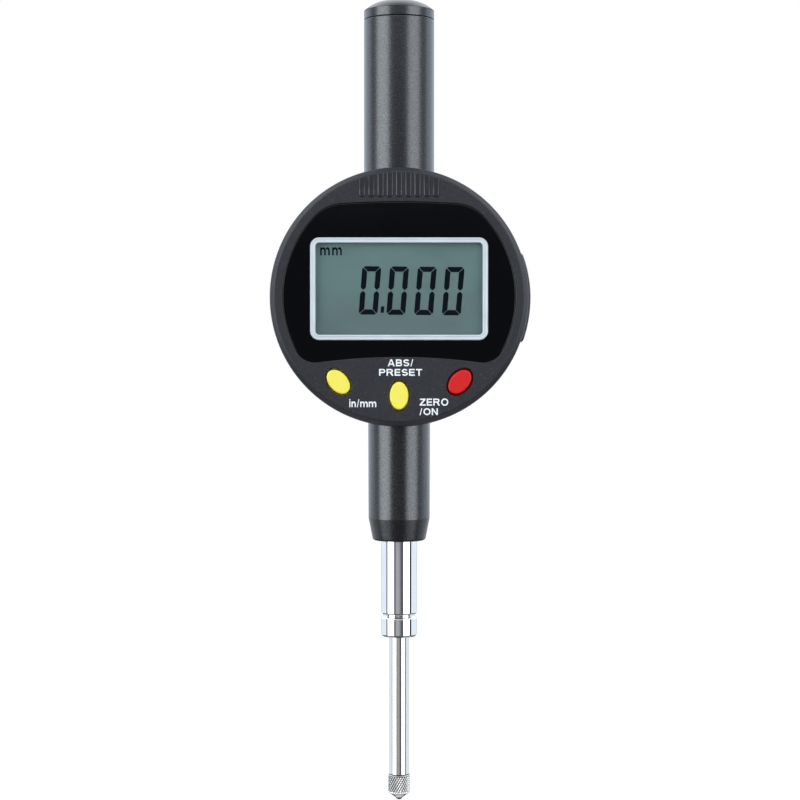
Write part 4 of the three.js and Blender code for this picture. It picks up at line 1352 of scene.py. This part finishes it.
class Room(Nodes):
    """The world's node tree with the directions that the light comes from."""

    def __init__(self):
        world = bpy.data.worlds.new("studio")
        bpy.context.scene.world = world
        super().__init__(world)
        self.tree.nodes.clear()
        x, self.depth, z = self.split(self.node("TexCoord"))
        turn = self.maths("ARCTAN2", x, self.maths("MULTIPLY", self.depth, -1.0))
        self.bearing = self.spread(turn, -pi, pi)
        self.height = self.maths("ARCSINE", z)

    def ramp(self, stops):
        """Colours by bearing."""
        node = self.tree.nodes.new("ShaderNodeValToRGB")
        self.link(self.bearing, node.inputs[0])
        band = node.color_ramp
        for element, (_, colour) in ((band.elements[0], stops[0]), (band.elements[1], stops[-1])):
            element.color = (*colour, 1)
        band.elements[0].position, band.elements[1].position = 0, 1
        for bearing, colour in stops[1:-1]:
            band.elements.new((bearing + 180) / 360).color = (*colour, 1)
        return node.outputs[0]

    def past(self, start, end):
        """0 at a height of start, 1 at end, and a smooth change between them."""
        return self.spread(self.height, radians(start), radians(end), smooth=True)


def studio():
    """Two tall soft boxes at the sides, a white sweep behind, and a darker room round the camera."""
    room = Room()
    low, middle, high = [room.ramp(stops) for stops in (ROOM_LOW, ROOM_MIDDLE, ROOM_HIGH)]
    walls = room.mixed(room.past(-6.5, -4), low, middle)
    walls = room.mixed(room.past(3.5, 8), walls, high)
    sky = room.mixed(room.spread(room.depth, -0.2, 0.2, smooth=True), TOP, SWEEP_TOP)
    sky = room.mixed(room.past(55, 72), sky, ZENITH)
    walls = room.mixed(room.past(18, 34), walls, sky)
    walls = room.mixed(room.past(-15, -26), walls, BELOW)
    behind = room.maths("MULTIPLY", room.spread(room.depth, 0.0, 0.2, smooth=True), room.past(-40, -50))
    walls = room.mixed(behind, walls, UNDER)
    lit = room.node("Background", Color=walls, Strength=ROOM_STRENGTH)
    plain = room.node("Background", Color=(1, 1, 1, 1), Strength=1.0)
    out = room.tree.nodes.new("ShaderNodeOutputWorld")
    room.link(room.node("MixShader", i0=room.node("LightPath"), i1=lit, i2=plain), out.inputs[0])


def floor():
    """A pale floor under the tip, lit from below like a photographer's light table."""
    depth, width, corner = 60, 1800, 200
    z = POINT_LOW.z - depth
    outline = rounded_box(0, 0, width, width, corner, 12)
    build = Build()
    build.fill(build.loop([Vector((p.x, p.y, z)) for p in outline]))
    table = build.object("floor", smooth=False)
    m = Finish("pale_floor", Roughness=0.9, Specular_IOR_Level=0.0)
    cloud = m.noise(60, 2)
    m.tint(cloud, (0.13, 0.13, 0.13), (0.15, 0.15, 0.15))
    m.shader.inputs["Emission Color"].default_value = (1, 1, 1, 1)
    m.shader.inputs["Emission Strength"].default_value = 0.93
    table.data.materials.append(m.material)
    for rays in ("visible_diffuse", "visible_glossy", "visible_transmission", "visible_shadow"):
        setattr(table, rays, False)


CAMERA_PLACE, CAMERA_DOWN = (0.0002, -0.42637, 0.05267), 0.794
LENS_LENGTH = 85.72


def camera():
    """Close in front of the face, tilted down a little."""
    data = bpy.data.cameras.new("camera")
    data.sensor_width, data.lens, data.shift_y = 36, LENS_LENGTH, -0.04
    data.clip_start, data.clip_end = 0.01, 10
    obj = bpy.data.objects.new("camera", data)
    bpy.context.collection.objects.link(obj)
    obj.location = CAMERA_PLACE
    obj.rotation_euler = (radians(90 - CAMERA_DOWN), 0, 0)
    bpy.context.scene.camera = obj


# ---------------------------------------------------------------- assembly
bpy.context.scene.view_settings.view_transform = "Standard"
camera()
studio()
floor()
case()
rear_cover()
screws()
display()
digits()
labels()
for key, where in BUTTONS.items():
    button(key, where)
drawer()
coin_cell()
tubes()
sleeve()
stem_parts()
spindle()
contact()
return_spring()
# the CAD nodes that stay visible get the same materials
for part in frame["record"]["subparts"]:
    carried = frame["nodes"][part["node"]]
    if not carried.hide_render:
        for index in range(len(carried.material_slots)):
            carried.material_slots[index].material = MATERIALS[part["material_slot"]]
